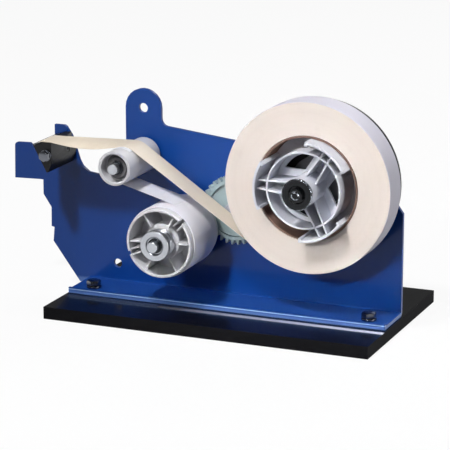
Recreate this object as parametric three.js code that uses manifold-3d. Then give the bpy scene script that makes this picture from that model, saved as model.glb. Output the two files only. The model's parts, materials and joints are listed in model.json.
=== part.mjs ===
// Tape dispenser on a board. A bent sheet stands on the board and carries a roll of tape on a hub,
// an idler roller, a take-up drum for the liner and a cutter block. Three gears on one line turn the
// drum with the roll.
// Millimetres, X along the board, Y to the back, Z up. The origin is the middle of the board's underside.
import * as THREE from 'three';
import { mergeVertices } from 'three/addons/utils/BufferGeometryUtils.js';
import Module from 'manifold-3d';

const wasm = await Module();
wasm.setup();

// Fits and facets
const seat = 0.3;
const overrun = 2;
const weld = 0.0005;
const roundCount = 36;
const smallCount = 12;

// Board
const boardLength = 262;
const boardWidth = 158;
const boardThickness = 9.5;

// Bent sheet: the upright wall's front face is the board's middle line
const sheetThickness = 3;
const bendRadius = 1.2;
const flangeInset = 1.1;
const flangeDepth = 37.7;
const flangeLip = 1.4;
const flangeLipWidth = 2;
const wallRightHeight = 80;
const wallTopHeight = 130.5;
const wallShoulderHeight = 112;
const shoulderWidth = 24;

// Ear with the hanging hole
const earX = -81.7;
const earWidth = 30;
const earTopHeight = 159;
const earFillet = 6;
const hangHoleRadius = 3.8;
const hangHoleDrop = 15.2;
const lowHoleRadius = 3.6;
const lowHoleX = -105;
const lowHoleHeight = 17.1;
const cornerCount = 6;

// Valley beside the ear, then the arm that carries the cutter block
const valleyHeight = 87.8;
const armX = -158.5;
const armWidth = 10.9;
const armHeight = 124.6;
const armCorner = 3;
const armSlopeRun = 25.6;
const armSlopeShares = [[0.148, 0.21], [0.25, 0.417], [0.402, 0.736], [0.496, 0.853], [0.715, 0.973],
  [1, 1]];

// Neck at the left edge, and the guard tab beyond it, bent a little to the front
const footOverhang = 8.6;
const footDrop = 1.6;
const neckShares = [[0.417, 0.375], [0.399, 0.519], [0.444, 0.525], [0.441, 0.724], [0.565, 0.852],
  [0.565, 1]];
const tabLeftX = -193.4;
const tabBottomHeight = 79;
const tabTopHeight = 107.8;
const creaseBottomX = -172.1;
const creaseLean = 8.9;
const creaseFlat = 3.2;
const notchDepth = 7.8;
const notchRun = 2.8;
const tabBendAngleShare = 8 / 360;
const tabCorner = 2.5;

// Gears: one module, one line through the three axes
const gearModule = 1.5;
const supplyTeethCount = 70;
const transferTeethCount = 34;
const takeUpTeethCount = 22;
const gearBacklash = 0.3;
const plainFlankCount = 2;
const shownFlankCount = 3;
const gearWidth = 6.5;
const gearRim = 3;
const gearRecess = 1.8;
const trainAngleShare = 23.58 / 360;
const pressureAngleShare = 20 / 360;
const addendumShare = 1;
const dedendumShare = 1.25;

// Studs, nuts and washers
const shoulderThickness = 2.9;
const shoulderStep = 3;
const threadTail = 1.5;
const nutWidthShare = 1.63;
const nutHeightShare = 0.75;
const washerRadiusShare = 1.9;
const washerThickness = 1.6;
const clipThickness = 1;
const clipGroove = 0.9;
const clipWall = 2.4;
const clipMouthShare = 60 / 360;
const endChamfer = 0.8;

// Take-up drum and its slip clutch
const drumX = -40.6;
const drumHeight = 55.5;
const drumRadius = 26.4;
const drumWall = 2;
const drumLength = 52.2;
const drumRibCount = 6;
const drumRibThickness = 1.3;
const drumRibSetback = 2.3;
const drumRibStartShare = 2 / 360;
const drumBossWall = 6;
const drumBossSetback = 7.3;
const drumFloorDepth = 24;
const drumFloorThickness = 2;
const takeUpShaftRadius = 4.2;
const takeUpThreadRadius = 4;
const sleeveWall = 3;
const clutchWasherRadius = 14;
const clutchWasherThickness = 1.5;
const collarRadius = 11.7;
const collarLength = 4.3;
const collarRecess = 2.2;
const springRadius = 10;
const springWire = 1.6;
const springGap = 10.6;
const springTurnCount = 4;
const springStepCount = 8;
const springSideCount = 5;
const takeUpShaftTail = 4.6;
const grabSlotWidth = 3;
const grabSlotLength = 17;
const grabFingerLength = 6.5;
const grabFingerThickness = 1.2;
const grabSlotAngleShares = [201.5 / 360, 45 / 360];

// Idler roller
const idlerX = -78.9;
const idlerHeight = 108.7;
const idlerRadius = 13.2;
const idlerWall = 2.4;
const idlerLength = 55.7;
const idlerShaftRadius = 4;
const idlerThreadRadius = 3;
const idlerBossWall = 3.6;
const idlerRecess = 9;
const idlerBossSetback = 5;
const idlerShaftTail = 8;
const idlerShoulderThickness = 3.5;

// Transfer gear stud
const transferShaftRadius = 5;
const transferThreadRadius = 3;
const transferBossStep = 2;
const transferBossWall = 4.5;

// Supply hub and what it carries
const supplyShaftRadius = 6;
const supplyThreadRadius = 4;
const hubEndThreadRadius = 3.1;
const discRadius = 62.3;
const discThickness = 2;
const rollSetback = 7.2;
const coreInnerRadius = 38.1;
const coreWall = 1.4;
const rollRadius = 64.8;
const tapeWidth = 24;
const rollEdge = 0.6;
const hubRingRadius = 29.2;
const hubRingWall = 1.5;
const hubRingReach = 7.5;
const hubArmCount = 3;
const hubArmStartShare = 176.7 / 360;
const hubArmSpread = 9.5;
const hubArmWaist = 6;
const hubArmThickness = 1.5;
const hubFinWall = 1.9;
const hubFinReach = 13;
const hubFinHalfAngleShare = 29 / 360;
const hubFinLip = 1.2;
const hubFinLipAngleShare = 3 / 360;
const hubBossRadius = 11.5;
const hubBossReach = 17.5;
const hubWebDepth = 11.5;
const hubWebThickness = 2.5;
const hubWindowRadius = 24.5;
const hubWindowInset = 10.8;
const hubFlangeThickness = 2.5;
const hubKeyWidth = 22;
const hubKeyDepth = 14;
const hubCapRadius = 12;
const hubCapThickness = 2.9;
const hubCapRecess = 1.2;
const hubCapRecessRadius = 6.5;
const hubNutHeight = 3.6;
const hubShaftTail = 0.9;
const supplyBossRadius = 20;

// Tape and liner in flight
const tapeThickness = 0.8;
const linerThickness = 0.4;
const linerShift = 4.5;
const woundThickness = 0.8;
const woundInset = 5;
const tapeEndInset = 5.5;

// Cutter block, blade and their screws
const blockArmReach = 18.5;
const blockRightX = armX + blockArmReach;
const blockTipReach = 15.4;
const blockTopWidth = 8;
const blockFootWidth = 1.2;
const blockFootCut = 3.2;
const blockFootCutHeight = 7;
const blockRearCut = 3.5;
const blockRearCutLength = 16;
const blockRearCutDepth = 5;
const blockHeight = 23.6;
const blockTopHeight = 120;
const blockLength = 42.7;
const bladeWidth = 8.5;
const bladeThickness = 0.8;
const bladeSlopeShare = 16 / 360;
const bladeToothPitch = 2;
const bladeToothDepth = 1.4;
const bladeScrewHeadRadius = 2.4;
const bladeScrewRadius = 1.3;
const bladeScrewLength = 5;
const bladeScrewPlace = 4;
const bladeScrewEnd = 7;
const blockBoltRadius = 2;
const blockBoltHeadRadius = 4.6;
const blockBoltHeadHeight = 4.4;
const blockBoltWidth = 7.6;
const blockBoltReach = 4.6;
const blockBoltDrop = 10.2;
const rearScrewRadius = 1.5;
const rearScrewHeadRadius = 2.8;
const rearScrewHeadHeight = 2;
const rearScrewLength = 12;
const rearScrewReach = 4;
const rearScrewDrop = 17.5;
const sideScrewRadius = 2.6;
const sideScrewSocketWidth = 2.5;
const sideScrewSocketDepth = 1.2;
const sideScrewEnd = 13.3;

// Bolts that hold the flange on the board
const baseBoltRadius = 3;
const baseBoltHeadHeight = 4;
const baseBoltInset = 16.5;
const baseBoltY = -26.5;
const baseNutPocketRadius = 7;
const baseNutPocketDepth = 5.6;

const turn = Math.PI * 2;
const boardTop = boardThickness;
const sheetUnder = boardTop + seat;

// A closed solid from a geometry: only positions count, and a shape turned inside out is put right
function solidOf(geometry) {
  const bare = geometry.index ? geometry.toNonIndexed() : geometry.clone();
  bare.deleteAttribute('normal');
  bare.deleteAttribute('uv');
  const merged = mergeVertices(bare, weld);
  const source = merged.index.array;
  const corners = [];
  for (let i = 0; i < source.length; i += 3) {
    const [a, b, c] = [source[i], source[i + 1], source[i + 2]];
    if (a !== b && b !== c && c !== a) corners.push(a, b, c);
  }
  const place = merged.attributes.position;
  if (signedVolume(place, corners) < 0) corners.reverse();
  return new wasm.Manifold(new wasm.Mesh({
    numProp: 3,
    vertProperties: Float32Array.from(place.array),
    triVerts: Uint32Array.from(corners),
  }));
}

function signedVolume(place, corners) {
  const [a, b, c] = [new THREE.Vector3(), new THREE.Vector3(), new THREE.Vector3()];
  let volume = 0;
  for (let i = 0; i < corners.length; i += 3) {
    a.fromBufferAttribute(place, corners[i]);
    b.fromBufferAttribute(place, corners[i + 1]);
    c.fromBufferAttribute(place, corners[i + 2]);
    volume += a.dot(b.cross(c));
  }
  return volume;
}

function geometryOf(solid) {
  const mesh = solid.getMesh();
  const geometry = new THREE.BufferGeometry();
  geometry.setAttribute('position', new THREE.BufferAttribute(Float32Array.from(mesh.vertProperties), 3));
  geometry.setIndex(Array.from(mesh.triVerts));
  geometry.computeVertexNormals();
  return geometry;
}

function joined(solids) {
  return solids.reduce((whole, piece) => whole.add(piece));
}

// An outline in X and Z, drawn out along Y from its front to its back
function drawnY(outline, frontY, backY) {
  const shape = new THREE.Shape(outline.map(([x, z]) => new THREE.Vector2(x, z)));
  const geometry = new THREE.ExtrudeGeometry(shape, { depth: backY - frontY, bevelEnabled: false });
  geometry.rotateX(turn / 4);
  geometry.translate(0, backY, 0);
  return solidOf(geometry);
}

// An outline in Y and Z, drawn out along X
function drawnX(outline, leftX, rightX) {
  const shape = new THREE.Shape(outline.map(([y, z]) => new THREE.Vector2(y, z)));
  const geometry = new THREE.ExtrudeGeometry(shape, { depth: rightX - leftX, bevelEnabled: false });
  geometry.rotateX(turn / 4);
  geometry.rotateZ(turn / 4);
  geometry.translate(leftX, 0, 0);
  return solidOf(geometry);
}

// An outline in X and Y, drawn out along Z
function drawnZ(outline, lowZ, highZ) {
  const shape = new THREE.Shape(outline.map(([x, y]) => new THREE.Vector2(x, y)));
  const geometry = new THREE.ExtrudeGeometry(shape, { depth: highZ - lowZ, bevelEnabled: false });
  geometry.translate(0, 0, lowZ);
  return solidOf(geometry);
}

// A profile of radius and Y, turned round the Y axis
function turned(profile, count = smallCount) {
  const points = profile.map(([radius, y]) => new THREE.Vector2(radius, y));
  return solidOf(new THREE.LatheGeometry(points, count));
}

function rod(radius, frontY, backY, count = smallCount) {
  return turned([[0, frontY], [radius, frontY], [radius, backY], [0, backY]], count);
}

function tube(inner, outer, frontY, backY, count = smallCount) {
  return turned([[inner, frontY], [outer, frontY], [outer, backY], [inner, backY], [inner, frontY]], count);
}

function polar(radius, angle) {
  return [radius * Math.cos(angle), radius * Math.sin(angle)];
}

function arc(x, z, radius, from, to, count) {
  const steps = Array.from({ length: count + 1 }, (_, i) => from + (to - from) * i / count);
  return steps.map((angle) => [x + radius * Math.cos(angle), z + radius * Math.sin(angle)]);
}

function hexagon(width) {
  return arc(0, 0, width / Math.sqrt(3), 0, turn * 5 / 6, 5);
}

// Shared turned pieces: a nut, a plain washer and an open retaining clip on an axis along Y
function nut(threadRadius, frontY, height = 2 * threadRadius * nutHeightShare) {
  const body = drawnY(hexagon(2 * threadRadius * nutWidthShare), frontY, frontY + height);
  return body.subtract(rod(threadRadius + seat, frontY - overrun, frontY + height + overrun));
}

function washer(threadRadius, frontY) {
  return tube(threadRadius + seat, threadRadius * washerRadiusShare, frontY, frontY + washerThickness);
}

function clip(shaftRadius, frontY, mouthAngle) {
  const inner = shaftRadius - clipGroove + seat;
  const outer = shaftRadius + clipWall;
  const from = mouthAngle + turn * clipMouthShare / 2;
  const to = mouthAngle + turn - turn * clipMouthShare / 2;
  const outline = [...arc(0, 0, outer, from, to, smallCount), ...arc(0, 0, inner, to, from, smallCount)];
  return drawnY(outline, frontY, frontY + clipThickness);
}

// A stud fixed in the wall: thread through the sheet, shoulder against its front, journal, clip groove, end
const studWasherY = sheetThickness + seat;
const studNutY = studWasherY + washerThickness + seat;

function stud(threadRadius, journalRadius, shoulder, frontY, clipY) {
  const rear = studNutY + 2 * threadRadius * nutHeightShare + threadTail;
  const groove = journalRadius - clipGroove;
  return turned([
    [0, frontY],
    [journalRadius - endChamfer, frontY],
    [journalRadius, frontY + endChamfer],
    [journalRadius, clipY - seat],
    [groove, clipY - seat],
    [groove, clipY + clipThickness + seat],
    [journalRadius, clipY + clipThickness + seat],
    [journalRadius, -seat - shoulder],
    [journalRadius + shoulderStep, -seat - shoulder],
    [journalRadius + shoulderStep, -seat],
    [threadRadius, -seat],
    [threadRadius, rear - endChamfer],
    [threadRadius - endChamfer, rear],
    [0, rear],
  ]);
}

// Gears. A tooth is an involute flank of two or three points a side, thinned by the backlash
function pitchRadius(teethCount) {
  return gearModule * teethCount / 2;
}

function involute(angle) {
  return Math.tan(angle) - angle;
}

function gearOutline(teethCount, phase, flankCount) {
  const pitch = pitchRadius(teethCount);
  const pressure = turn * pressureAngleShare;
  const base = pitch * Math.cos(pressure);
  const root = pitch - gearModule * dedendumShare;
  const tip = pitch + gearModule * addendumShare;
  const halfAtPitch = (turn * gearModule / 4 - gearBacklash) / pitch / 2;
  const halfAt = (radius) => {
    const angle = Math.acos(Math.min(1, base / radius));
    return halfAtPitch + involute(pressure) - involute(angle);
  };
  const radii = Array.from({ length: flankCount }, (_, i) => root + (tip - root) * i / (flankCount - 1));
  const outline = [];
  for (let tooth = 0; tooth < teethCount; tooth += 1) {
    const middle = phase + turn * tooth / teethCount;
    radii.forEach((radius) => outline.push(polar(radius, middle - halfAt(radius))));
    radii.toReversed().forEach((radius) => outline.push(polar(radius, middle + halfAt(radius))));
  }
  return outline;
}

// The phase that puts a tooth of the second gear in a gap of the first, which lies along a direction from it
function meshedPhase(firstPhase, firstCount, direction, secondCount) {
  return direction + turn / 2 - ((firstPhase - direction) * firstCount + turn / 2) / secondCount;
}

const gearBackY = -shoulderThickness - 2 * seat;
const gearFrontY = gearBackY - gearWidth;
const trainAngle = turn * trainAngleShare;
const transferPhase = trainAngle;
const supplyPhase = meshedPhase(transferPhase, transferTeethCount, trainAngle, supplyTeethCount);
const takeUpPhase = meshedPhase(transferPhase, transferTeethCount, trainAngle + turn / 2, takeUpTeethCount);

// A toothed disc with a raised rim and a raised boss, recessed between them on both faces
function gearBody(teethCount, phase, flankCount, bossRadius) {
  const rimRadius = pitchRadius(teethCount) - gearModule * dedendumShare - gearRim;
  const disc = drawnY(gearOutline(teethCount, phase, flankCount), gearFrontY, gearBackY);
  if (rimRadius <= bossRadius + gearRim) return disc;
  const front = tube(bossRadius, rimRadius, gearFrontY - overrun, gearFrontY + gearRecess, roundCount);
  const back = tube(bossRadius, rimRadius, gearBackY - gearRecess, gearBackY + overrun, roundCount);
  return disc.subtract(front).subtract(back);
}

// Axes in X and Z, all worked out from the drum's axis and the gears
const drumAxis = [drumX, boardTop + drumHeight];
const idlerAxis = [idlerX, boardTop + idlerHeight];
const transferReach = pitchRadius(takeUpTeethCount) + pitchRadius(transferTeethCount);
const transferAxis = along(drumAxis, transferReach, trainAngle);
const supplyReach = pitchRadius(transferTeethCount) + pitchRadius(supplyTeethCount);
const supplyAxis = along(transferAxis, supplyReach, trainAngle);

function along([x, z], distance, angle) {
  return [x + distance * Math.cos(angle), z + distance * Math.sin(angle)];
}

// Places along Y, from the wall to the viewer
const discBackY = gearFrontY - seat;
const discFrontY = discBackY - discThickness;
const rollBackY = discFrontY - rollSetback;
const rollFrontY = rollBackY - tapeWidth;
const hubRingFrontY = rollFrontY - hubRingReach;
const hubFinFrontY = rollFrontY - hubFinReach;
const hubBossFrontY = rollFrontY - hubBossReach;
const hubWebFrontY = rollFrontY + hubWebDepth;
const hubCapFrontY = hubBossFrontY - seat - hubCapThickness;
const hubNutFrontY = hubCapFrontY + hubCapRecess - seat - hubNutHeight;
const clutchWasherFrontY = gearFrontY - seat - clutchWasherThickness;
const drumBackY = clutchWasherFrontY - seat;
const drumFrontY = drumBackY - drumLength;
const drumBossFrontY = drumFrontY + drumBossSetback;
const sleeveRadius = takeUpShaftRadius + seat + sleeveWall;
const drumBoreRadius = sleeveRadius + seat;
const drumBossRadius = drumBoreRadius + drumBossWall;
const sleeveFrontY = drumBossFrontY - springGap;
const collarFrontY = sleeveFrontY - seat - collarLength;
const takeUpClipY = collarFrontY + collarRecess - seat - clipThickness;
const woundRadius = drumRadius + seat + woundThickness;
const idlerBackY = -idlerShoulderThickness - 2 * seat;
const idlerFrontY = idlerBackY - idlerLength;
const idlerBossFrontY = idlerFrontY + idlerBossSetback;
const idlerBossRadius = idlerShaftRadius + seat + idlerBossWall;
const blockFrontY = -seat - blockLength;

// Where the board, the flange and the wall lie
const boardLeftX = -boardLength / 2;
const flangeLeftX = boardLeftX + flangeInset;
const flangeRightX = boardLength / 2 - flangeInset;
const bendTopZ = sheetUnder + sheetThickness + bendRadius;

function boltPlaces() {
  return [flangeLeftX + baseBoltInset, flangeRightX - baseBoltInset];
}

function upright(solid, x, y, z) {
  return solid.rotate([90, 0, 0]).translate([x, y, z]);
}

function makeBoard() {
  const half = boardWidth / 2;
  const outline = [[-half, 0], [half, 0], [half, boardThickness], [-half, boardThickness]];
  let board = drawnX(outline, boardLeftX, boardLength / 2);
  boltPlaces().forEach((x) => {
    const hole = rod(baseBoltRadius + seat, -overrun, boardThickness + overrun);
    const pocket = rod(baseNutPocketRadius, -overrun, baseNutPocketDepth);
    board = board.subtract(upright(hole.add(pocket), x, baseBoltY, 0));
  });
  return board;
}

// The wall's outline, from its foot at the left round to the right; a height counts from the board's top
function rounded([cornerX, cornerZ], radius, from, to) {
  return arc(cornerX, cornerZ, radius, from, to, cornerCount);
}

function wallOutline() {
  const footX = flangeLeftX - footOverhang;
  const neckReach = footX - tabLeftX;
  const neck = neckShares.map(([reach, rise]) =>
    [footX - neckReach * reach, boardTop + tabBottomHeight * rise]);
  const creaseTopX = creaseBottomX - creaseLean;
  const tabTopZ = boardTop + tabTopHeight;
  const notch = [
    [creaseTopX + creaseFlat, tabTopZ - tabCorner],
    [creaseTopX + creaseFlat + notchRun, tabTopZ - notchDepth],
    [armX, tabTopZ],
  ];
  const armTopZ = boardTop + armHeight;
  const armDrop = armHeight - valleyHeight;
  const arm = [[armX, armTopZ],
    ...rounded([armX + armWidth - armCorner, armTopZ - armCorner], armCorner, turn / 4, turn / 16)];
  const slope = armSlopeShares.map(([run, fall]) =>
    [armX + armWidth + armSlopeRun * run, armTopZ - armDrop * fall]);
  const earLeft = earX - earWidth / 2;
  const earRight = earX + earWidth / 2;
  const earTop = arc(earX, boardTop + earTopHeight - earWidth / 2, earWidth / 2, turn / 2, 0, smallCount);
  const wallTopZ = boardTop + wallTopHeight;
  const fillet = rounded([earRight + earFillet, wallTopZ + earFillet], earFillet, turn / 2, turn * 3 / 4);
  return [
    [footX, sheetUnder - footDrop],
    ...neck,
    [creaseBottomX, boardTop + tabBottomHeight],
    [creaseTopX, tabTopZ],
    ...notch,
    ...arm,
    ...slope,
    [earLeft, boardTop + valleyHeight],
    ...earTop,
    ...fillet,
    [flangeRightX - shoulderWidth, boardTop + wallShoulderHeight],
    [flangeRightX, boardTop + wallRightHeight],
    [flangeRightX, bendTopZ],
    [flangeLeftX, bendTopZ],
    [flangeLeftX, sheetUnder],
    [boardLeftX - seat, sheetUnder],
    [boardLeftX - seat, sheetUnder - footDrop],
  ];
}

function flangeOutline() {
  const outer = bendRadius + sheetThickness;
  const centre = [sheetThickness - outer, sheetUnder + outer];
  return [
    [sheetThickness, bendTopZ + overrun],
    ...arc(...centre, outer, 0, -turn / 4, cornerCount),
    [-flangeDepth, sheetUnder],
    [-flangeDepth, sheetUnder + sheetThickness + flangeLip],
    [flangeLipWidth - flangeDepth, sheetUnder + sheetThickness + flangeLip],
    [flangeLipWidth + flangeLip - flangeDepth, sheetUnder + sheetThickness],
    ...arc(...centre, bendRadius, -turn / 4, 0, cornerCount),
    [0, bendTopZ + overrun],
  ];
}

function guardTab() {
  const overlap = seat;
  const creaseTopX = creaseBottomX - creaseLean;
  const bottomZ = boardTop + tabBottomHeight;
  const topZ = boardTop + tabTopHeight;
  const flat = drawnY([
    [tabLeftX, bottomZ],
    [creaseBottomX + overlap, bottomZ],
    [creaseTopX + overlap, topZ],
    ...rounded([tabLeftX + tabCorner, topZ - tabCorner], tabCorner, turn / 4, turn / 2),
  ], 0, sheetThickness);
  const crease = new THREE.Vector3(-creaseLean, 0, tabTopHeight - tabBottomHeight).normalize();
  const bend = new THREE.Matrix4().makeRotationAxis(crease, turn * tabBendAngleShare);
  const there = new THREE.Matrix4().makeTranslation(creaseBottomX, sheetThickness / 2, bottomZ);
  const back = there.clone().invert();
  return flat.transform(there.multiply(bend).multiply(back).elements);
}

function makeWall() {
  let wall = joined([
    drawnY(wallOutline(), 0, sheetThickness),
    drawnX(flangeOutline(), flangeLeftX, flangeRightX),
    guardTab(),
  ]);
  const holes = [
    [earX, boardTop + earTopHeight - hangHoleDrop, hangHoleRadius, roundCount],
    [lowHoleX, boardTop + lowHoleHeight, lowHoleRadius, roundCount],
    [...supplyAxis, supplyThreadRadius + seat],
    [...transferAxis, transferThreadRadius + seat],
    [...drumAxis, takeUpThreadRadius + seat],
    [...idlerAxis, idlerThreadRadius + seat],
    [...blockBoltPlace, blockBoltRadius + seat],
    [...rearScrewPlace, rearScrewRadius + seat],
  ];
  holes.forEach(([x, z, radius, count]) => {
    wall = wall.subtract(rod(radius, -overrun, sheetThickness + overrun, count).translate([x, 0, z]));
  });
  boltPlaces().forEach((x) => {
    const hole = rod(baseBoltRadius + seat, -overrun, sheetUnder + sheetThickness + overrun);
    wall = wall.subtract(upright(hole, x, baseBoltY, 0));
  });
  return wall;
}

// Hub of the roll: a ring on three pairs of arms, each pair ending in a fin that presses on the core
const hubFinRadius = coreInnerRadius - seat;
const hubKeyBackY = rollBackY + hubKeyDepth;

function hubFin(angle) {
  const half = turn * hubFinHalfAngleShare;
  const lip = turn * hubFinLipAngleShare;
  const inner = hubFinRadius - hubFinWall;
  const fin = [...arc(0, 0, hubFinRadius, angle - half, angle + half, cornerCount),
    ...arc(0, 0, inner, angle + half, angle - half, cornerCount)];
  const lips = [angle - half, angle + half - lip].map((from) => {
    const outline = [polar(hubFinRadius, from), polar(hubFinRadius, from + lip),
      polar(inner - hubFinLip, from + lip), polar(inner - hubFinLip, from)];
    return drawnY(outline, hubFinFrontY, rollBackY);
  });
  return joined([drawnY(fin, hubFinFrontY, rollBackY), ...lips]);
}

function hubArms(angle) {
  const from = hubBossRadius - hubRingWall;
  const to = hubFinRadius - hubFinWall / 2;
  return joined([-1, 1].map((side) => {
    const outline = [
      [from, side * hubArmSpread / 2 - hubArmThickness / 2],
      [to, side * hubArmWaist / 2 - hubArmThickness / 2],
      [to, side * hubArmWaist / 2 + hubArmThickness / 2],
      [from, side * hubArmSpread / 2 + hubArmThickness / 2],
    ];
    return drawnY(outline, hubRingFrontY, rollBackY).rotate([0, -angle * 360 / turn, 0]);
  }));
}

// A window between two pairs of arms: a chevron whose inner edges run beside the arms
function hubWindow(angle) {
  const apex = hubWindowInset / Math.sin(turn / 6);
  const corner = Math.asin(hubWindowInset / hubWindowRadius);
  const outline = [polar(apex, angle),
    ...arc(0, 0, hubWindowRadius, angle - turn / 6 + corner, angle + turn / 6 - corner, cornerCount)];
  return drawnY(outline, hubWebFrontY - overrun, hubWebFrontY + hubWebThickness + overrun);
}

function makeHub() {
  const armAngles = Array.from({ length: hubArmCount }, (_, i) =>
    turn * (hubArmStartShare + i / hubArmCount));
  const between = turn / hubArmCount / 2;
  const wallRadius = hubRingRadius - hubRingWall / 2;
  const web = rod(wallRadius, hubWebFrontY, hubWebFrontY + hubWebThickness, roundCount);
  const flange = tube(wallRadius, hubFinRadius, rollBackY - hubFlangeThickness, rollBackY, roundCount);
  const hub = joined([
    tube(hubRingRadius - hubRingWall, hubRingRadius, hubRingFrontY, rollBackY, roundCount),
    web.subtract(joined(armAngles.map((angle) => hubWindow(angle + between)))),
    flange,
    rod(hubBossRadius, hubBossFrontY, rollBackY, roundCount / 2),
    ...armAngles.map(hubArms),
    ...armAngles.map(hubFin),
    rod(supplyBossRadius, rollBackY - hubFlangeThickness, discFrontY - seat, roundCount / 2),
    drawnY(hexagon(hubKeyWidth), rollBackY, hubKeyBackY),
  ]);
  return hub.subtract(rod(supplyShaftRadius + seat, hubBossFrontY - overrun, hubKeyBackY + overrun));
}

function makeSupplyGear() {
  const body = gearBody(supplyTeethCount, supplyPhase, plainFlankCount, supplyBossRadius);
  const shaftRoom = rod(supplyShaftRadius + seat, gearFrontY - overrun, gearBackY + overrun);
  const keyRoom = drawnY(hexagon(hubKeyWidth + 2 * seat), gearFrontY - overrun, hubKeyBackY + seat);
  return body.subtract(shaftRoom).subtract(keyRoom);
}

function makeDisc() {
  const disc = rod(discRadius, discFrontY, discBackY, roundCount * 2);
  const keyRoom = drawnY(hexagon(hubKeyWidth + 2 * seat), discFrontY - overrun, discBackY + overrun);
  return disc.subtract(keyRoom);
}

const coreOuterRadius = coreInnerRadius + coreWall;

function makeRoll() {
  const inner = coreOuterRadius + seat;
  return turned([
    [inner, rollFrontY],
    [rollRadius - rollEdge, rollFrontY],
    [rollRadius, rollFrontY + rollEdge],
    [rollRadius, rollBackY - rollEdge],
    [rollRadius - rollEdge, rollBackY],
    [inner, rollBackY],
    [inner, rollFrontY],
  ], roundCount * 2);
}

// The hub is held on its stud by a cupped washer and a nut
function makeSupplyShaft() {
  const rear = studNutY + 2 * supplyThreadRadius * nutHeightShare + threadTail;
  const front = hubNutFrontY - hubShaftTail;
  return turned([
    [0, front],
    [hubEndThreadRadius - endChamfer, front],
    [hubEndThreadRadius, front + endChamfer],
    [hubEndThreadRadius, hubBossFrontY + seat],
    [supplyShaftRadius, hubBossFrontY + seat],
    [supplyShaftRadius, -seat - shoulderThickness],
    [supplyShaftRadius + shoulderStep, -seat - shoulderThickness],
    [supplyShaftRadius + shoulderStep, -seat],
    [supplyThreadRadius, -seat],
    [supplyThreadRadius, rear - endChamfer],
    [supplyThreadRadius - endChamfer, rear],
    [0, rear],
  ]);
}

function makeHubCap() {
  return turned([
    [hubEndThreadRadius + seat, hubCapFrontY + hubCapRecess],
    [hubCapRecessRadius, hubCapFrontY + hubCapRecess],
    [hubCapRecessRadius, hubCapFrontY],
    [hubCapRadius - endChamfer, hubCapFrontY],
    [hubCapRadius, hubCapFrontY + endChamfer],
    [hubCapRadius, hubCapFrontY + hubCapThickness],
    [hubEndThreadRadius + seat, hubCapFrontY + hubCapThickness],
    [hubEndThreadRadius + seat, hubCapFrontY + hubCapRecess],
  ], roundCount / 2);
}

// Take-up drum: a shell on six ribs round a long boss, with two slots that grab the liner's end
function grabSlot(angle) {
  const inner = drumRadius - drumWall - grabFingerLength;
  const half = grabSlotWidth / 2;
  const side = half + grabFingerThickness;
  const backY = drumFrontY + grabSlotLength;
  const degrees = -angle * 360 / turn;
  const frame = drawnY([[inner, -side], [drumRadius - drumWall / 2, -side], [drumRadius - drumWall / 2, side],
    [inner, side]], drumFrontY + drumRibSetback, backY).rotate([0, degrees, 0]);
  const gap = drawnY([[inner - overrun, -half], [drumRadius + overrun, -half], [drumRadius + overrun, half],
    [inner - overrun, half]], drumFrontY - overrun, backY + overrun).rotate([0, degrees, 0]);
  return { frame, gap };
}

function makeDrum() {
  const floorY = drumFrontY + drumFloorDepth;
  const ribs = Array.from({ length: drumRibCount }, (_, i) => {
    const half = drumRibThickness / 2;
    const outline = [[drumBossRadius - half, -half], [drumRadius - drumWall / 2, -half],
      [drumRadius - drumWall / 2, half], [drumBossRadius - half, half]];
    const angle = turn * (drumRibStartShare + i / drumRibCount);
    return drawnY(outline, drumFrontY + drumRibSetback, drumBackY).rotate([0, -angle * 360 / turn, 0]);
  });
  const slots = grabSlotAngleShares.map((share) => grabSlot(turn * share));
  let drum = joined([
    tube(drumRadius - drumWall, drumRadius, drumFrontY, drumBackY, roundCount),
    tube(drumBoreRadius, drumBossRadius, drumBossFrontY, drumBackY, roundCount / 2),
    tube(drumBossRadius - seat, drumRadius - seat, floorY, floorY + drumFloorThickness, roundCount),
    ...ribs,
    ...slots.map((slot) => slot.frame),
  ]);
  slots.forEach((slot) => {
    drum = drum.subtract(slot.gap);
  });
  return drum;
}

function makeTakeUpGear() {
  const sleeve = rod(sleeveRadius, sleeveFrontY, gearBackY);
  const outline = gearOutline(takeUpTeethCount, takeUpPhase, plainFlankCount);
  const gear = drawnY(outline, gearFrontY, gearBackY);
  const bore = rod(takeUpShaftRadius + seat, sleeveFrontY - overrun, gearBackY + overrun);
  return gear.add(sleeve).subtract(bore);
}

// The clutch spring: one unbroken tube round the sleeve, between the drum's boss and the collar
function makeSpring() {
  const length = springGap - seat - springWire;
  const startY = drumBossFrontY - seat - springWire / 2;
  const stepTotal = springTurnCount * springStepCount;
  const points = Array.from({ length: stepTotal + 1 }, (_, i) => {
    const angle = turn * i / springStepCount;
    return new THREE.Vector3(springRadius * Math.cos(angle), startY - length * i / stepTotal,
      springRadius * Math.sin(angle));
  });
  console.log('spring gap', (length / springTurnCount - springWire).toFixed(2));
  return sweptCoil(points, springWire / 2, springSideCount);
}

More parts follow.
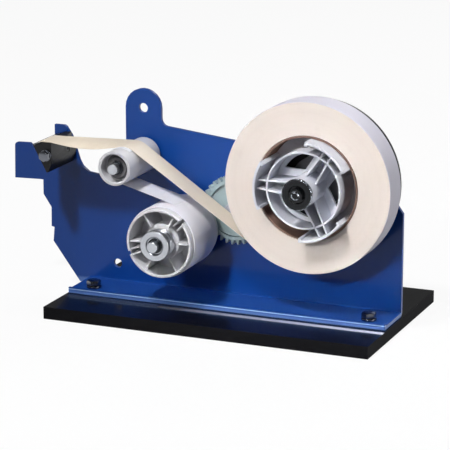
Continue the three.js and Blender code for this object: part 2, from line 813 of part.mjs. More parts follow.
function sweptCoil(points, radius, sideCount) {
  const place = [];
  const corners = [];
  points.forEach((point) => {
    const outward = new THREE.Vector3(point.x, 0, point.z).normalize();
    for (let side = 0; side < sideCount; side += 1) {
      const angle = turn * side / sideCount;
      place.push(point.x + outward.x * radius * Math.cos(angle), point.y + radius * Math.sin(angle),
        point.z + outward.z * radius * Math.cos(angle));
    }
  });
  for (let ring = 0; ring < points.length - 1; ring += 1) {
    for (let side = 0; side < sideCount; side += 1) {
      const next = (side + 1) % sideCount;
      const [a, b] = [ring * sideCount + side, ring * sideCount + next];
      corners.push(a, b, b + sideCount, a, b + sideCount, a + sideCount);
    }
  }
  const last = (points.length - 1) * sideCount;
  for (let side = 1; side < sideCount - 1; side += 1) {
    corners.push(0, side + 1, side, last, last + side, last + side + 1);
  }
  const geometry = new THREE.BufferGeometry();
  geometry.setAttribute('position', new THREE.Float32BufferAttribute(place, 3));
  geometry.setIndex(corners);
  return solidOf(geometry);
}

function makeCollar() {
  const inner = takeUpShaftRadius + seat;
  const recess = takeUpShaftRadius + clipWall + seat;
  return turned([
    [inner, collarFrontY + collarRecess],
    [recess, collarFrontY + collarRecess],
    [recess, collarFrontY],
    [collarRadius - endChamfer, collarFrontY],
    [collarRadius, collarFrontY + endChamfer],
    [collarRadius, collarFrontY + collarLength],
    [inner, collarFrontY + collarLength],
    [inner, collarFrontY + collarRecess],
  ], roundCount / 2);
}

// Idler: a shell on a boss, joined by a web in its middle and open at both ends
function makeIdler() {
  const shellInner = idlerRadius - idlerWall;
  const bore = idlerShaftRadius + seat;
  const rearBossY = idlerBackY - idlerBossSetback;
  return turned([
    [bore, idlerBossFrontY],
    [idlerBossRadius, idlerBossFrontY],
    [idlerBossRadius, idlerFrontY + idlerRecess],
    [shellInner, idlerFrontY + idlerRecess],
    [shellInner, idlerFrontY],
    [idlerRadius, idlerFrontY],
    [idlerRadius, idlerBackY],
    [shellInner, idlerBackY],
    [shellInner, idlerBackY - idlerRecess],
    [idlerBossRadius, idlerBackY - idlerRecess],
    [idlerBossRadius, idlerBackY],
    [bore, idlerBackY],
    [bore, idlerBossFrontY],
  ], roundCount);
}

// Straight run between two circles that crosses the line between them; side picks which of the two it is
function crossRun(first, firstRadius, second, secondRadius, side) {
  const [runX, runZ] = [second[0] - first[0], second[1] - first[1]];
  const span = Math.hypot(runX, runZ);
  const angle = Math.atan2(runZ, runX) + side * Math.acos((firstRadius + secondRadius) / span);
  return {
    angle,
    first: along(first, firstRadius, angle),
    second: along(second, -secondRadius, angle),
  };
}

// A band of even thickness: the path is its inner face, and the band lies to the right of the path's run
function bandAlong(path, thickness, shift = 0) {
  const outer = path.map((point, i) => {
    const before = path[Math.max(i - 1, 0)];
    const after = path[Math.min(i + 1, path.length - 1)];
    const into = Math.atan2(point[1] - before[1], point[0] - before[0]);
    const outOf = Math.atan2(after[1] - point[1], after[0] - point[0]);
    const first = i === 0 ? outOf : into;
    const last = i === path.length - 1 ? into : outOf;
    const bend = Math.atan2(Math.sin(last - first), Math.cos(last - first));
    return along(point, thickness / Math.cos(bend / 2), first + bend / 2 - turn / 4);
  });
  return drawnY([...path, ...outer.reverse()], rollFrontY - shift, rollBackY - shift);
}

const blockTopZ = boardTop + blockTopHeight;
const bladeSlope = turn * bladeSlopeShare;
const bladeStepX = blockRightX - blockTopWidth;

function makeTapeWeb() {
  const idlerFace = idlerRadius + seat + linerThickness + seat;
  const run = crossRun(idlerAxis, idlerFace, supplyAxis, rollRadius + seat + tapeThickness, 1);
  const landing = [blockRightX, blockTopZ + seat];
  const reach = [landing[0] - idlerAxis[0], landing[1] - idlerAxis[1]];
  const leave = Math.atan2(reach[1], reach[0]) - Math.acos(idlerFace / Math.hypot(...reach));
  const end = along([bladeStepX, blockTopZ + seat], bladeWidth - tapeEndInset, turn / 2 + bladeSlope);
  return bandAlong([run.second, ...arc(...idlerAxis, idlerFace, run.angle, leave, smallCount), landing,
    [bladeStepX, blockTopZ + seat], end], tapeThickness);
}

function makeLinerWeb() {
  const idlerFace = idlerRadius + seat;
  const start = crossRun(idlerAxis, idlerFace + linerThickness + seat, supplyAxis,
    rollRadius + seat + tapeThickness, 1).angle;
  const run = crossRun(idlerAxis, idlerFace, drumAxis, woundRadius + seat + linerThickness, -1);
  return bandAlong([...arc(...idlerAxis, idlerFace, start, run.angle + turn, roundCount), run.second],
    linerThickness, linerShift);
}

// Cutter block: a wedge that stands out from the arm, with a rebate on top for the blade
const blockBoltPlace = [blockRightX - blockBoltReach, blockTopZ - blockBoltDrop];
const rearScrewPlace = [blockRightX - rearScrewReach, blockTopZ - rearScrewDrop];
const bladeRebate = bladeThickness + seat;

// A frame on the rebate: s runs down the slope to the edge, t stands off it
function onSlope(s, t) {
  const foot = along([bladeStepX, blockTopZ - bladeRebate], s, turn / 2 + bladeSlope);
  return along(foot, t, turn / 4 + bladeSlope);
}

function bladeScrewPlaces() {
  return [blockFrontY + bladeScrewEnd, -bladeScrewEnd];
}

function screwOnSlope(solid, y) {
  const [x, z] = onSlope(bladeScrewPlace, 0);
  return solid.rotate([90, 0, 0]).rotate([0, -bladeSlope * 360 / turn, 0]).translate([x, y, z]);
}

// The set screw in the block's right face reaches to the bolt, on the bolt's height
function fromRight(solid, depth) {
  const y = blockFrontY + blockLength - sideScrewEnd;
  return solid.rotate([0, 0, -90]).translate([blockRightX - depth, y, blockTopZ - blockBoltDrop]);
}

function makeBlock() {
  const tip = onSlope((blockTipReach - blockTopWidth) / Math.cos(bladeSlope), 0);
  const footZ = blockTopZ - blockHeight;
  let block = drawnY([
    [blockRightX, blockTopZ],
    [bladeStepX, blockTopZ],
    onSlope(0, 0),
    tip,
    [blockRightX - blockFootCut - blockFootWidth, footZ],
    [blockRightX - blockFootCut, footZ],
    [blockRightX, footZ + blockFootCutHeight],
  ], blockFrontY, -seat);
  const rearCornerX = blockRightX - blockRearCut;
  const rearCut = drawnZ([[blockRightX, -blockRearCutLength], [blockRightX + overrun, -blockRearCutLength],
    [blockRightX + overrun, overrun], [rearCornerX, overrun], [rearCornerX, -seat]],
  blockTopZ - blockRearCutDepth, blockTopZ + overrun);
  block = block.subtract(rearCut);
  const boltHole = rod(blockBoltRadius + seat, blockFrontY - overrun, overrun);
  const rearHole = rod(rearScrewRadius + seat, -rearScrewLength - seat, overrun);
  [[boltHole, blockBoltPlace], [rearHole, rearScrewPlace]].forEach(([hole, [x, z]]) => {
    block = block.subtract(hole.translate([x, 0, z]));
  });
  bladeScrewPlaces().forEach((y) => {
    block = block.subtract(screwOnSlope(rod(bladeScrewRadius + seat, -bladeScrewLength - seat, overrun), y));
  });
  return block.subtract(fromRight(rod(sideScrewRadius + seat, 0, blockBoltReach + overrun), blockBoltReach));
}

function makeBlade() {
  const length = blockLength - seat;
  const toothTotal = Math.floor(length / bladeToothPitch);
  const pitch = length / toothTotal;
  const shape = [[seat, 0], [seat, length]];
  for (let tooth = 0; tooth < toothTotal; tooth += 1) {
    shape.push([bladeWidth - bladeToothDepth, length - pitch * tooth]);
    shape.push([bladeWidth, length - pitch * (tooth + 1 / 2)]);
  }
  shape.push([bladeWidth - bladeToothDepth, 0]);
  const outline = new THREE.Shape(shape.map(([s, y]) => new THREE.Vector2(-s, y)));
  const flat = new THREE.ExtrudeGeometry(outline, { depth: bladeThickness, bevelEnabled: false });
  const [x, z] = onSlope(0, seat);
  let blade = solidOf(flat).rotate([0, -bladeSlope * 360 / turn, 0]).translate([x, blockFrontY, z]);
  bladeScrewPlaces().forEach((y) => {
    const headRoom = rod(bladeScrewHeadRadius + seat, -overrun, bladeRebate + overrun);
    blade = blade.subtract(screwOnSlope(headRoom, y));
  });
  return blade;
}

function makeBladeScrew(y) {
  const head = rod(bladeScrewHeadRadius, seat, bladeRebate);
  return screwOnSlope(head.add(rod(bladeScrewRadius, -bladeScrewLength, bladeRebate / 2)), y);
}

function makeSideScrew() {
  const length = blockBoltReach - blockBoltRadius - 2 * seat;
  const socket = drawnY(hexagon(sideScrewSocketWidth), length - sideScrewSocketDepth, length + overrun);
  return fromRight(rod(sideScrewRadius, 0, length).subtract(socket), length + seat);
}

function makeBlockBolt() {
  const headFrontY = blockFrontY - seat - blockBoltHeadHeight;
  const rear = studNutY + 2 * blockBoltRadius * nutHeightShare + threadTail;
  const flange = rod(blockBoltHeadRadius, blockFrontY - seat - blockBoltHeadHeight / 3, blockFrontY - seat);
  const head = drawnY(hexagon(blockBoltWidth), headFrontY, blockFrontY - seat);
  return joined([flange, head, rod(blockBoltRadius, headFrontY + seat, rear)]);
}

function makeRearScrew() {
  const headY = sheetThickness + seat;
  const head = rod(rearScrewHeadRadius, headY, headY + rearScrewHeadHeight);
  return head.add(rod(rearScrewRadius, -rearScrewLength, headY + seat));
}

// Bolt, washer and nut that hold the flange on the board, each made on an upright axis
const flangeTopZ = sheetUnder + sheetThickness;
const baseNutTopZ = baseNutPocketDepth - seat;
const baseNutHeight = 2 * baseBoltRadius * nutHeightShare;

function makeBaseBolt() {
  const headZ = flangeTopZ + seat + washerThickness + seat;
  const head = drawnY(hexagon(2 * baseBoltRadius * nutWidthShare), headZ, headZ + baseBoltHeadHeight);
  return head.add(rod(baseBoltRadius, baseNutTopZ - baseNutHeight, headZ + seat));
}

// Finishes
const finishes = {
  board: { color: 0x121316, roughness: 0.3, metalness: 0 },
  bluePaint: { color: 0x1f4fa8, roughness: 0.35, metalness: 0.1 },
  whitePlastic: { color: 0xe3e4ee, roughness: 0.45, metalness: 0 },
  greyPlastic: { color: 0xb9bfd2, roughness: 0.45, metalness: 0 },
  nylon: { color: 0xa9c6cc, roughness: 0.4, metalness: 0 },
  steel: { color: 0xc3c6cc, roughness: 0.3, metalness: 1 },
  blackSteel: { color: 0x1b1d22, roughness: 0.35, metalness: 0.8 },
  blackBlock: { color: 0x17181b, roughness: 0.4, metalness: 0.3 },
  blackDisc: { color: 0x101116, roughness: 0.6, metalness: 0 },
  felt: { color: 0x4a4742, roughness: 0.9, metalness: 0 },
  card: { color: 0x8c6a55, roughness: 0.85, metalness: 0 },
  tape: { color: 0xeee2d6, roughness: 0.6, metalness: 0 },
  liner: { color: 0xe6e4ea, roughness: 0.5, metalness: 0 },
};

const dispenser = new THREE.Group();

function add(name, solid, finish, [x, z] = [0, 0]) {
  const mesh = new THREE.Mesh(geometryOf(solid), new THREE.MeshStandardMaterial(finishes[finish]));
  mesh.name = name;
  mesh.position.set(x, 0, z);
  dispenser.add(mesh);
}

function addStudNut(name, threadRadius, axis) {
  add(`${name}_washer`, washer(threadRadius, studWasherY), 'steel', axis);
  add(`${name}_nut`, nut(threadRadius, studNutY), 'steel', axis);
}

add('base_board', makeBoard(), 'board');
add('frame_wall', makeWall(), 'bluePaint');
boltPlaces().forEach((x, i) => {
  const side = ['left', 'right'][i];
  const pieces = {
    bolt: makeBaseBolt(),
    washer: washer(baseBoltRadius, flangeTopZ + seat),
    nut: nut(baseBoltRadius, baseNutTopZ - baseNutHeight),
  };
  Object.entries(pieces).forEach(([name, solid]) => {
    add(`base_${name}_${side}`, upright(solid, x, baseBoltY, 0), 'steel');
  });
});

add('supply_gear', makeSupplyGear(), 'nylon', supplyAxis);
add('backing_disc', makeDisc(), 'blackDisc', supplyAxis);
add('supply_hub', makeHub(), 'greyPlastic', supplyAxis);
const core = tube(coreInnerRadius, coreOuterRadius, rollFrontY, rollBackY, roundCount);
add('tape_core', core, 'card', supplyAxis);
add('tape_roll', makeRoll(), 'tape', supplyAxis);
add('supply_shaft', makeSupplyShaft(), 'steel', supplyAxis);
add('hub_cap_washer', makeHubCap(), 'blackSteel', supplyAxis);
add('hub_cap_nut', nut(hubEndThreadRadius, hubNutFrontY, hubNutHeight), 'blackSteel', supplyAxis);
addStudNut('supply_shaft', supplyThreadRadius, supplyAxis);

const transferBossY = gearFrontY - transferBossStep;
const transferClipY = transferBossY - seat - clipThickness;
const transferBossRadius = transferShaftRadius + seat + transferBossWall;
const transferEndY = transferClipY - clipThickness - threadTail;
const transferGear = gearBody(transferTeethCount, transferPhase, shownFlankCount, transferBossRadius)
  .add(rod(transferBossRadius, transferBossY, gearBackY))
  .subtract(rod(transferShaftRadius + seat, transferBossY - overrun, gearBackY + overrun));
add('transfer_gear', transferGear, 'nylon', transferAxis);
add('transfer_stud', stud(transferThreadRadius, transferShaftRadius, shoulderThickness, transferEndY,
  transferClipY), 'steel', transferAxis);
add('transfer_clip', clip(transferShaftRadius, transferClipY, turn / 4), 'steel', transferAxis);
addStudNut('transfer_stud', transferThreadRadius, transferAxis);

add('take_up_gear', makeTakeUpGear(), 'nylon', drumAxis);
const clutchPad = tube(drumBoreRadius, clutchWasherRadius, clutchWasherFrontY, gearFrontY - seat);
add('clutch_washer', clutchPad, 'felt', drumAxis);
add('take_up_drum', makeDrum(), 'whitePlastic', drumAxis);
const wound = tube(drumRadius + seat, woundRadius, drumFrontY + woundInset, drumBackY - woundInset,
  roundCount);
add('wound_liner', wound, 'liner', drumAxis);
add('clutch_spring', makeSpring(), 'steel', drumAxis);
add('clutch_collar', makeCollar(), 'steel', drumAxis);
add('take_up_shaft', stud(takeUpThreadRadius, takeUpShaftRadius, shoulderThickness,
  collarFrontY - takeUpShaftTail, takeUpClipY), 'steel', drumAxis);
add('take_up_clip', clip(takeUpShaftRadius, takeUpClipY, turn * 5 / 8), 'steel', drumAxis);
addStudNut('take_up_shaft', takeUpThreadRadius, drumAxis);

const idlerClipY = idlerBossFrontY - seat - clipThickness;
add('idler_roller', makeIdler(), 'whitePlastic', idlerAxis);
add('idler_shaft', stud(idlerThreadRadius, idlerShaftRadius, idlerShoulderThickness,
  idlerBossFrontY - idlerShaftTail, idlerClipY), 'steel', idlerAxis);
add('idler_clip', clip(idlerShaftRadius, idlerClipY, turn * 3 / 8), 'steel', idlerAxis);
addStudNut('idler_shaft', idlerThreadRadius, idlerAxis);

add('cutter_block', makeBlock(), 'blackBlock');
add('cutter_blade', makeBlade(), 'steel');
bladeScrewPlaces().forEach((y, i) => {
  add(`blade_screw_${['front', 'rear'][i]}`, makeBladeScrew(y), 'steel');
});
add('block_bolt', makeBlockBolt(), 'steel', blockBoltPlace);
addStudNut('block_bolt', blockBoltRadius, blockBoltPlace);
add('block_rear_screw', makeRearScrew(), 'steel', rearScrewPlace);
add('block_side_screw', makeSideScrew(), 'blackSteel');
add('tape_web', makeTapeWeb(), 'tape');
add('liner_web', makeLinerWeb(), 'liner');

export default dispenser;
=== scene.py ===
# %% [markdown]
# A bench tape dispenser, built as a lesson. A blue bent sheet stands on a black board. It carries a roll of
# tape on a moulded hub, an idler roller, a drum that winds up the liner, three gears behind them and a black
# cutter block. The construction comes in as a fixed frame, and each cell here gives one part of it its looks.

import json
import math

import bmesh
import bpy
from mathutils import Matrix, Vector


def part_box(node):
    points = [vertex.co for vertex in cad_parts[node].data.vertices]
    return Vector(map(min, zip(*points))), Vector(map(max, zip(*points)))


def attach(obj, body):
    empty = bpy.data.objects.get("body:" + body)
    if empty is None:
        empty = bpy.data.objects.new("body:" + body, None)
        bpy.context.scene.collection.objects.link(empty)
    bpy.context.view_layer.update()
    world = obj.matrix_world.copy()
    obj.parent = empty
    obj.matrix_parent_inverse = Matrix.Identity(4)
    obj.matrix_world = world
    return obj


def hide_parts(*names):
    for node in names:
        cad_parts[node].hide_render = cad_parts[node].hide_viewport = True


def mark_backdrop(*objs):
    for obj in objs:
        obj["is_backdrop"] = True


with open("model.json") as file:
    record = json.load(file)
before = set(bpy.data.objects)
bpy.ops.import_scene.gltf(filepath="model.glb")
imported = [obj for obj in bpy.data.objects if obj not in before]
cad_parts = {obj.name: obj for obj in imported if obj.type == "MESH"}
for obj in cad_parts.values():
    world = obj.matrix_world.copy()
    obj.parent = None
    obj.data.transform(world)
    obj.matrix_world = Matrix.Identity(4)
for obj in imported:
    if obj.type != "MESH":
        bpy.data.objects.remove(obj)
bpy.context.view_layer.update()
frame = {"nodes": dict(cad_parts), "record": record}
record = frame["record"]
body_of = {node: body for body, members in record["behaviour"]["bodies"].items() for node in members}
mm = 0.001

# %% [markdown]
# The camera comes first, because every later choice is judged through it. It stands to the right of the
# object and a little above it, with a long lens, so the far side is hardly smaller than the near side.

# %% Camera
camera_place = (0.6315, -1.5475, 0.5048)
camera_tilt = 90 - 14.6407
camera_turn = 22.6255
camera_lens = 180.2


def in_scene(name, data):
    made = bpy.data.objects.new(name, data)
    bpy.context.scene.collection.objects.link(made)
    return made


camera_data = bpy.data.cameras.new("camera")
camera_data.lens = camera_lens
camera = in_scene("camera", camera_data)
camera.location = camera_place
camera.rotation_euler = (math.radians(camera_tilt), 0, math.radians(camera_turn))
bpy.context.scene.camera = camera
print("camera at", camera_place)

# %% [markdown]
# Node trees are easier to read as formulas. The class Wire wraps the output of a node, so that a plus or a
# times sign between two wires adds a Math node. The class Nodes adds the nodes to a tree and links them. The
# materials, the geometry trees and the world of this file are all made with it.

# %% A wire and its arithmetic
class Wire:
    """The output of a node; arithmetic on it adds Math nodes."""

    def __init__(self, nodes, socket):
        self.nodes = nodes
        self.socket = socket

    def math(self, operation, *values):
        return self.nodes.add("ShaderNodeMath", dict(enumerate(values)), operation=operation)

    def __add__(self, other):
        return self.math("ADD", self, other)

    def __rsub__(self, other):
        return self.math("SUBTRACT", other, self)

    def __mul__(self, other):
        return self.math("MULTIPLY", self, other)

    def __truediv__(self, other):
        return self.math("DIVIDE", self, other)

    def __rtruediv__(self, other):
        return self.math("DIVIDE", other, self)

    def __pow__(self, other):
        return self.math("POWER", self, other)


print("a wire adds, subtracts, multiplies, divides and raises to a power")


# %% Nodes of any tree
class Nodes:
    """A node tree that is filled by formulas."""

    def __init__(self, tree):
        self.tree = tree

    def feed(self, node, values):
        for key, value in values.items():
            socket = node.inputs[key]
            if isinstance(value, Wire):
                self.tree.links.new(value.socket, socket)
            else:
                socket.default_value = value

    def add(self, kind, values=None, output=0, **settings):
        made = self.tree.nodes.new(kind)
        for key, value in settings.items():
            setattr(made, key, value)
        self.feed(made, values or {})
        return Wire(self, made.outputs[output])

    def split(self, place):
        made = self.add("ShaderNodeSeparateXYZ", {0: place}).socket.node
        return [Wire(self, socket) for socket in made.outputs]

    def spread(self, value, low, high, to_low=0, to_high=1):
        """A value's share of the way from low to high, as a value between two others."""
        values = {"Value": value, "From Min": low, "From Max": high, "To Min": to_low, "To Max": to_high}
        return self.add("ShaderNodeMapRange", values, clamp=True)

    def ray(self, kind):
        """1 for rays of a kind, 0 for others."""
        return self.add("ShaderNodeLightPath", output=f"Is {kind} Ray")


print("formulas can add nodes")

# %% [markdown]
# A finish is a material. Paint, plastic and metal differ in colour, gloss and relief, and all three vary a
# little from place to place on a real surface. So the class below adds noise, bands and relief to one
# Principled shader, which gives every finish of this object without any picture.

# %% The maker of finishes
def colour(red, green, blue):
    """A colour picked as 0 to 255 on a screen, as the linear light that a shader wants."""
    def linear(value):
        share = value / 255
        return share / 12.92 if share <= 0.04045 else ((share + 0.055) / 1.055) ** 2.4
    return (linear(red), linear(green), linear(blue), 1)


class Finish(Nodes):
    """A material whose nodes are made by formulas and end in one shader."""

    def __init__(self, name, **sockets):
        self.material = bpy.data.materials.new(name)
        self.material.use_nodes = True
        super().__init__(self.material.node_tree)
        self.tree.nodes.clear()
        self.output = self.tree.nodes.new("ShaderNodeOutputMaterial")
        self.shader = self.tree.nodes.new("ShaderNodeBsdfPrincipled")
        self.tree.links.new(self.shader.outputs[0], self.output.inputs["Surface"])
        self.shade(**sockets)

    def shade(self, **sockets):
        self.feed(self.shader, {key.replace("_", " "): value for key, value in sockets.items()})
        return self.material

    def place(self, centre=(0, 0, 0), scale=(1, 1, 1)):
        """Object coordinates in metres, moved to a centre and then scaled."""
        there = self.add("ShaderNodeTexCoord", output="Object")
        moved = self.add("ShaderNodeVectorMath", {0: there, 1: tuple(centre)}, operation="SUBTRACT")
        return self.add("ShaderNodeMapping", {"Vector": moved, "Scale": scale})

    def radius(self, place):
        """Distance from the Y axis through the place's centre."""
        x, _, z = self.split(place)
        return (x * x + z * z) ** 0.5

    def noise(self, place, scale, detail=3, roughness=0.5):
        values = {"Vector": place, "Scale": scale, "Detail": detail, "Roughness": roughness}
        return self.add("ShaderNodeTexNoise", values)

    def layers(self, depth, scale, detail):
        """Noise that varies along one way only, as the turns of a wound roll do."""
        values = {"W": depth, "Scale": scale, "Detail": detail}
        return self.add("ShaderNodeTexNoise", values, noise_dimensions="1D")

    def band(self, value, low, high, rise, fall):
        """1 between two limits and 0 outside them, with a soft rise and a soft fall just inside them."""
        return self.spread(value, low, low + rise) * self.spread(value, high - fall, high, 1, 0)

    def mix(self, share, first, second):
        return self.add("ShaderNodeMix", {0: share, 6: first, 7: second}, 2, data_type="RGBA")

    def bump(self, height, distance, strength):
        return self.add("ShaderNodeBump", {"Height": height, "Distance": distance, "Strength": strength})


print("the finish maker is ready")

# %% [markdown]
# Nearly everything on this machine is turned, pressed from sheet or moulded. So a few makers cover most of
# it. A turned piece is a profile spun round an axis, and its corners are softened first, because a real edge
# always catches a thin line of light.

# %% Axes and profiles
whole = 2 * math.pi
merge_distance = 0.003 * mm
easing = 0.3 * mm
easing_steps = 3
easing_limit = 0.3
hold_share = 0.5


def polar(radius, angle):
    return Vector((radius * math.cos(angle), radius * math.sin(angle)))


def arc(radius, start, stop, steps, centre=(0, 0)):
    angles = [start + (stop - start) * step / steps for step in range(steps + 1)]
    return [Vector(centre) + polar(radius, angle) for angle in angles]


def circle(radius, count, centre=(0, 0)):
    return arc(radius, 0, whole * (count - 1) / count, count - 1, centre)


def rectangle(left, right, low, high):
    """Four corners: an outline, or the profile of a plain ring as inside, outside, front and back."""
    return [(left, low), (right, low), (right, high), (left, high)]


def axis_of(node):
    """A matrix that moves a piece made round the Y axis onto the middle of a node."""
    low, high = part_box(node)
    return Matrix.Translation(((low.x + high.x) / 2, 0, (low.z + high.z) / 2))


def span_of(node, axis=1):
    """Both ends of a node along an axis; along Y they are its front and back."""
    low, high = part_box(node)
    return low[axis], high[axis]


def radius_of(node):
    low, high = span_of(node, 0)
    return (high - low) / 2


def softened(profile, closed, reach):
    """Each corner becomes a short arc, with a point on the flats beside it that keeps them flat."""
    count = len(profile)
    points = [Vector(point) for point in profile]
    soft = []
    for i, here in enumerate(points):
        if not closed and i in (0, count - 1):
            soft.append(here)
            continue
        back = points[i - 1] - here
        ahead = points[(i + 1) % count] - here
        cut = min(reach, back.length * easing_limit, ahead.length * easing_limit)
        start = here + back.normalized() * cut
        stop = here + ahead.normalized() * cut
        hold = cut * hold_share
        soft.append(start + back.normalized() * hold)
        for step in range(easing_steps + 1):
            share = step / easing_steps
            first = start.lerp(here, share)
            soft.append(first.lerp(here.lerp(stop, share), share))
        soft.append(stop + ahead.normalized() * hold)
    return soft


print("turned edges are eased by", easing / mm, "mm")

# %% [markdown]
# A turned piece could be made with the Spin tool. A loft does more: rings of points are skinned one after
# another, and where a ring isn't round, as on a nut, the same skin still fits. So one maker serves both.

# %% Makers of turned pieces
crown_share = 0.95
crown_slope = 0.55
crown_edge = 25
pinhole_share = 0.02


def mesh_object(name, bm):
    bmesh.ops.recalc_face_normals(bm, faces=bm.faces)
    mesh = bpy.data.meshes.new(name)
    bm.to_mesh(mesh)
    bm.free()
    mesh.shade_smooth()
    return in_scene(name, mesh)


def crisp(piece, angle):
    """Edges over an angle in degrees stay sharp."""
    piece.data.set_sharp_from_angle(angle=math.radians(angle))
    return piece


def lofted(name, rings, closed, place):
    """A skin over rings of points round the Y axis. An open loft is capped by a point at each end."""
    bm = bmesh.new()
    rows = [[bm.verts.new(place @ Vector(point)) for point in ring] for ring in rings]
    pairs = list(zip(rows, rows[1:]))
    if closed:
        pairs.append((rows[-1], rows[0]))
    for first, second in pairs:
        for i in range(max(len(first), len(second))):
            corners = [first[i % len(first)], first[(i + 1) % len(first)],
                       second[(i + 1) % len(second)], second[i % len(second)]]
            bm.faces.new(list(dict.fromkeys(corners)))
    return mesh_object(name, bm)


def turned(name, profile, place=Matrix(), closed=True, sides=96, reach=easing):
    """A profile of (radius, y) spun round an axis. A closed profile is a ring, an open one a solid."""
    rings = []
    for radius, y in softened(profile, closed, reach):
        count = 1 if radius < merge_distance else sides
        points = [polar(radius, whole * i / count) for i in range(count)]
        rings.append([(x, y, z) for x, z in points])
    return lofted(name, rings, closed, place)


def hexed(name, width, front, back, bore, place, both_ends=True, sides=72):
    """A hexagon with its corners turned down to a round face: a nut, or a bolt's head where bore is zero."""
    flat = width / 2
    crown = flat * crown_share
    inner = max(bore, flat * pinhole_share)
    rings = []

    def ring(radius_at, depth_at):
        angles = [whole * i / sides for i in range(sides)]
        rings.append([(radius_at(a) * math.cos(a), depth_at(a), radius_at(a) * math.sin(a)) for a in angles])

    def corner(angle):
        return flat / math.cos((angle + whole / 12) % (whole / 6) - whole / 12)

    def drop(angle):
        return (corner(angle) - crown) * crown_slope

    ring(lambda a: inner, lambda a: front)
    ring(lambda a: crown, lambda a: front)
    ring(corner, lambda a: front + drop(a))
    ring(corner, lambda a: back - (drop(a) if both_ends else 0))
    if both_ends:
        ring(lambda a: crown, lambda a: back)
    ring(lambda a: inner, lambda a: back)
    return crisp(lofted(name, rings, True, place), crown_edge)


print("makers: lofted, turned and hexed")

# %% [markdown]
# Flat shapes are drawn as closed outlines in X and Z and thickened along Y. A Blender curve does this and
# rounds the edges as well, with holes taken from the inner outlines. A turned face would ripple where a big
# flat meets a tiny round edge, so a Weighted Normal modifier lets the large faces rule the shading.

# %% Makers of flat pieces
same_plane = 0.5
sharp_edge = 42
edge_segments = 2


def even(piece, angle=40):
    """Large flats rule the shading, and edges over an angle stay crisp."""
    modifier = crisp(piece, angle).modifiers.new("even flats", "WEIGHTED_NORMAL")
    modifier.weight = 100
    modifier.keep_sharp = True
    return piece


def evaluated_mesh(piece):
    """What an object's modifiers or its curve make, as a plain mesh."""
    bpy.context.view_layer.update()
    return bpy.data.meshes.new_from_object(piece.evaluated_get(bpy.context.evaluated_depsgraph_get()))


def pressed(name, outlines, front, back, place=Matrix(), reach=0.2 * mm):
    """Outlines in X and Z drawn out along Y, with eased edges. Outlines inside the first are holes."""
    curve = bpy.data.curves.new(name, "CURVE")
    curve.dimensions = "2D"
    curve.fill_mode = "BOTH"
    curve.extrude = (back - front) / 2 - reach
    curve.bevel_depth = reach
    curve.bevel_resolution = 1
    curve.offset = -reach
    for outline in outlines:
        spline = curve.splines.new("POLY")
        spline.points.add(len(outline) - 1)
        for point, (x, z) in zip(spline.points, outline):
            point.co = (x, z, 0, 1)
        spline.use_cyclic_u = True
    drawn = in_scene(name, curve)
    mesh = evaluated_mesh(drawn)
    bpy.data.objects.remove(drawn)
    bpy.data.curves.remove(curve)
    upright = Matrix.Rotation(whole / 4, 4, "X")
    mesh.transform(place @ Matrix.Translation((0, (front + back) / 2, 0)) @ upright)
    bm = bmesh.new()
    bm.from_mesh(mesh)
    bpy.data.meshes.remove(mesh)
    bmesh.ops.remove_doubles(bm, verts=bm.verts, dist=merge_distance)
    return mesh_object(name, bm)


def eased_copy(name, node, reach):
    """A copy of a CAD node with its triangles joined, its flats whole and its edges rounded."""
    bm = bmesh.new()
    bm.from_mesh(frame["nodes"][node].data)
    bmesh.ops.remove_doubles(bm, verts=bm.verts, dist=merge_distance)
    bmesh.ops.dissolve_limit(bm, angle_limit=math.radians(same_plane), verts=bm.verts, edges=bm.edges)
    vertices = [tuple(v.co) for v in bm.verts]
    bm.verts.index_update()
    faces = [[v.index for v in face.verts] for face in bm.faces]
    bm.free()
    mesh = bpy.data.meshes.new(name)
    mesh.from_pydata(vertices, [], faces)
    mesh.shade_smooth()
    piece = crisp(in_scene(name, mesh), sharp_edge)
    bevel = piece.modifiers.new("eased edges", "BEVEL")
    bevel.width = reach
    bevel.segments = edge_segments
    bevel.limit_method = "ANGLE"
    bevel.angle_limit = math.radians(sharp_edge)
    bevel.harden_normals = True
    return piece


def one_piece(name, parts):
    """Several closed shapes as one object, as a moulding has ribs and walls in one."""
    bm = bmesh.new()
    for part in parts:
        bm.from_mesh(part.data)
        bpy.data.meshes.remove(part.data)
    return mesh_object(name, bm)


print("makers: pressed, eased_copy and one_piece")

# %% [markdown]
# Ribs, teeth and coils repeat, and Geometry Nodes make such things from one pattern. The tree below sets
# copies of a piece round the Y axis. It is evaluated once and turned into a plain mesh, so that the model
# holds no instances.

# %% A tree that sets copies round an axis
class Pattern(Nodes):
    """A geometry tree with named inputs, which ends in plain geometry of one material."""

    def __init__(self, title, **inputs):
        super().__init__(bpy.data.node_groups.new(title, "GeometryNodeTree"))
        sockets = self.tree.interface
        sockets.new_socket("Geometry", in_out="OUTPUT", socket_type="NodeSocketGeometry")
        for name, kind in inputs.items():
            sockets.new_socket(name, in_out="INPUT", socket_type=f"NodeSocket{kind}")
        start = self.tree.nodes.new("NodeGroupInput")
        self.end = self.tree.nodes.new("NodeGroupOutput")
        self.given = {name: Wire(self, start.outputs[name]) for name in inputs}

    def copies(self, points, **turn):
        """The piece that the tree is given, once at each point."""
        piece = self.add("GeometryNodeObjectInfo", {"Object": self.given["Piece"]}, "Geometry")
        return self.add("GeometryNodeInstanceOnPoints", {"Points": points, "Instance": piece, **turn})

    def close(self, geometry):
        real = self.add("GeometryNodeRealizeInstances", {"Geometry": geometry})
        values = {"Geometry": real, "Material": self.given["Material"]}
        self.feed(self.end, {"Geometry": self.add("GeometryNodeSetMaterial", values)})
        return self.tree


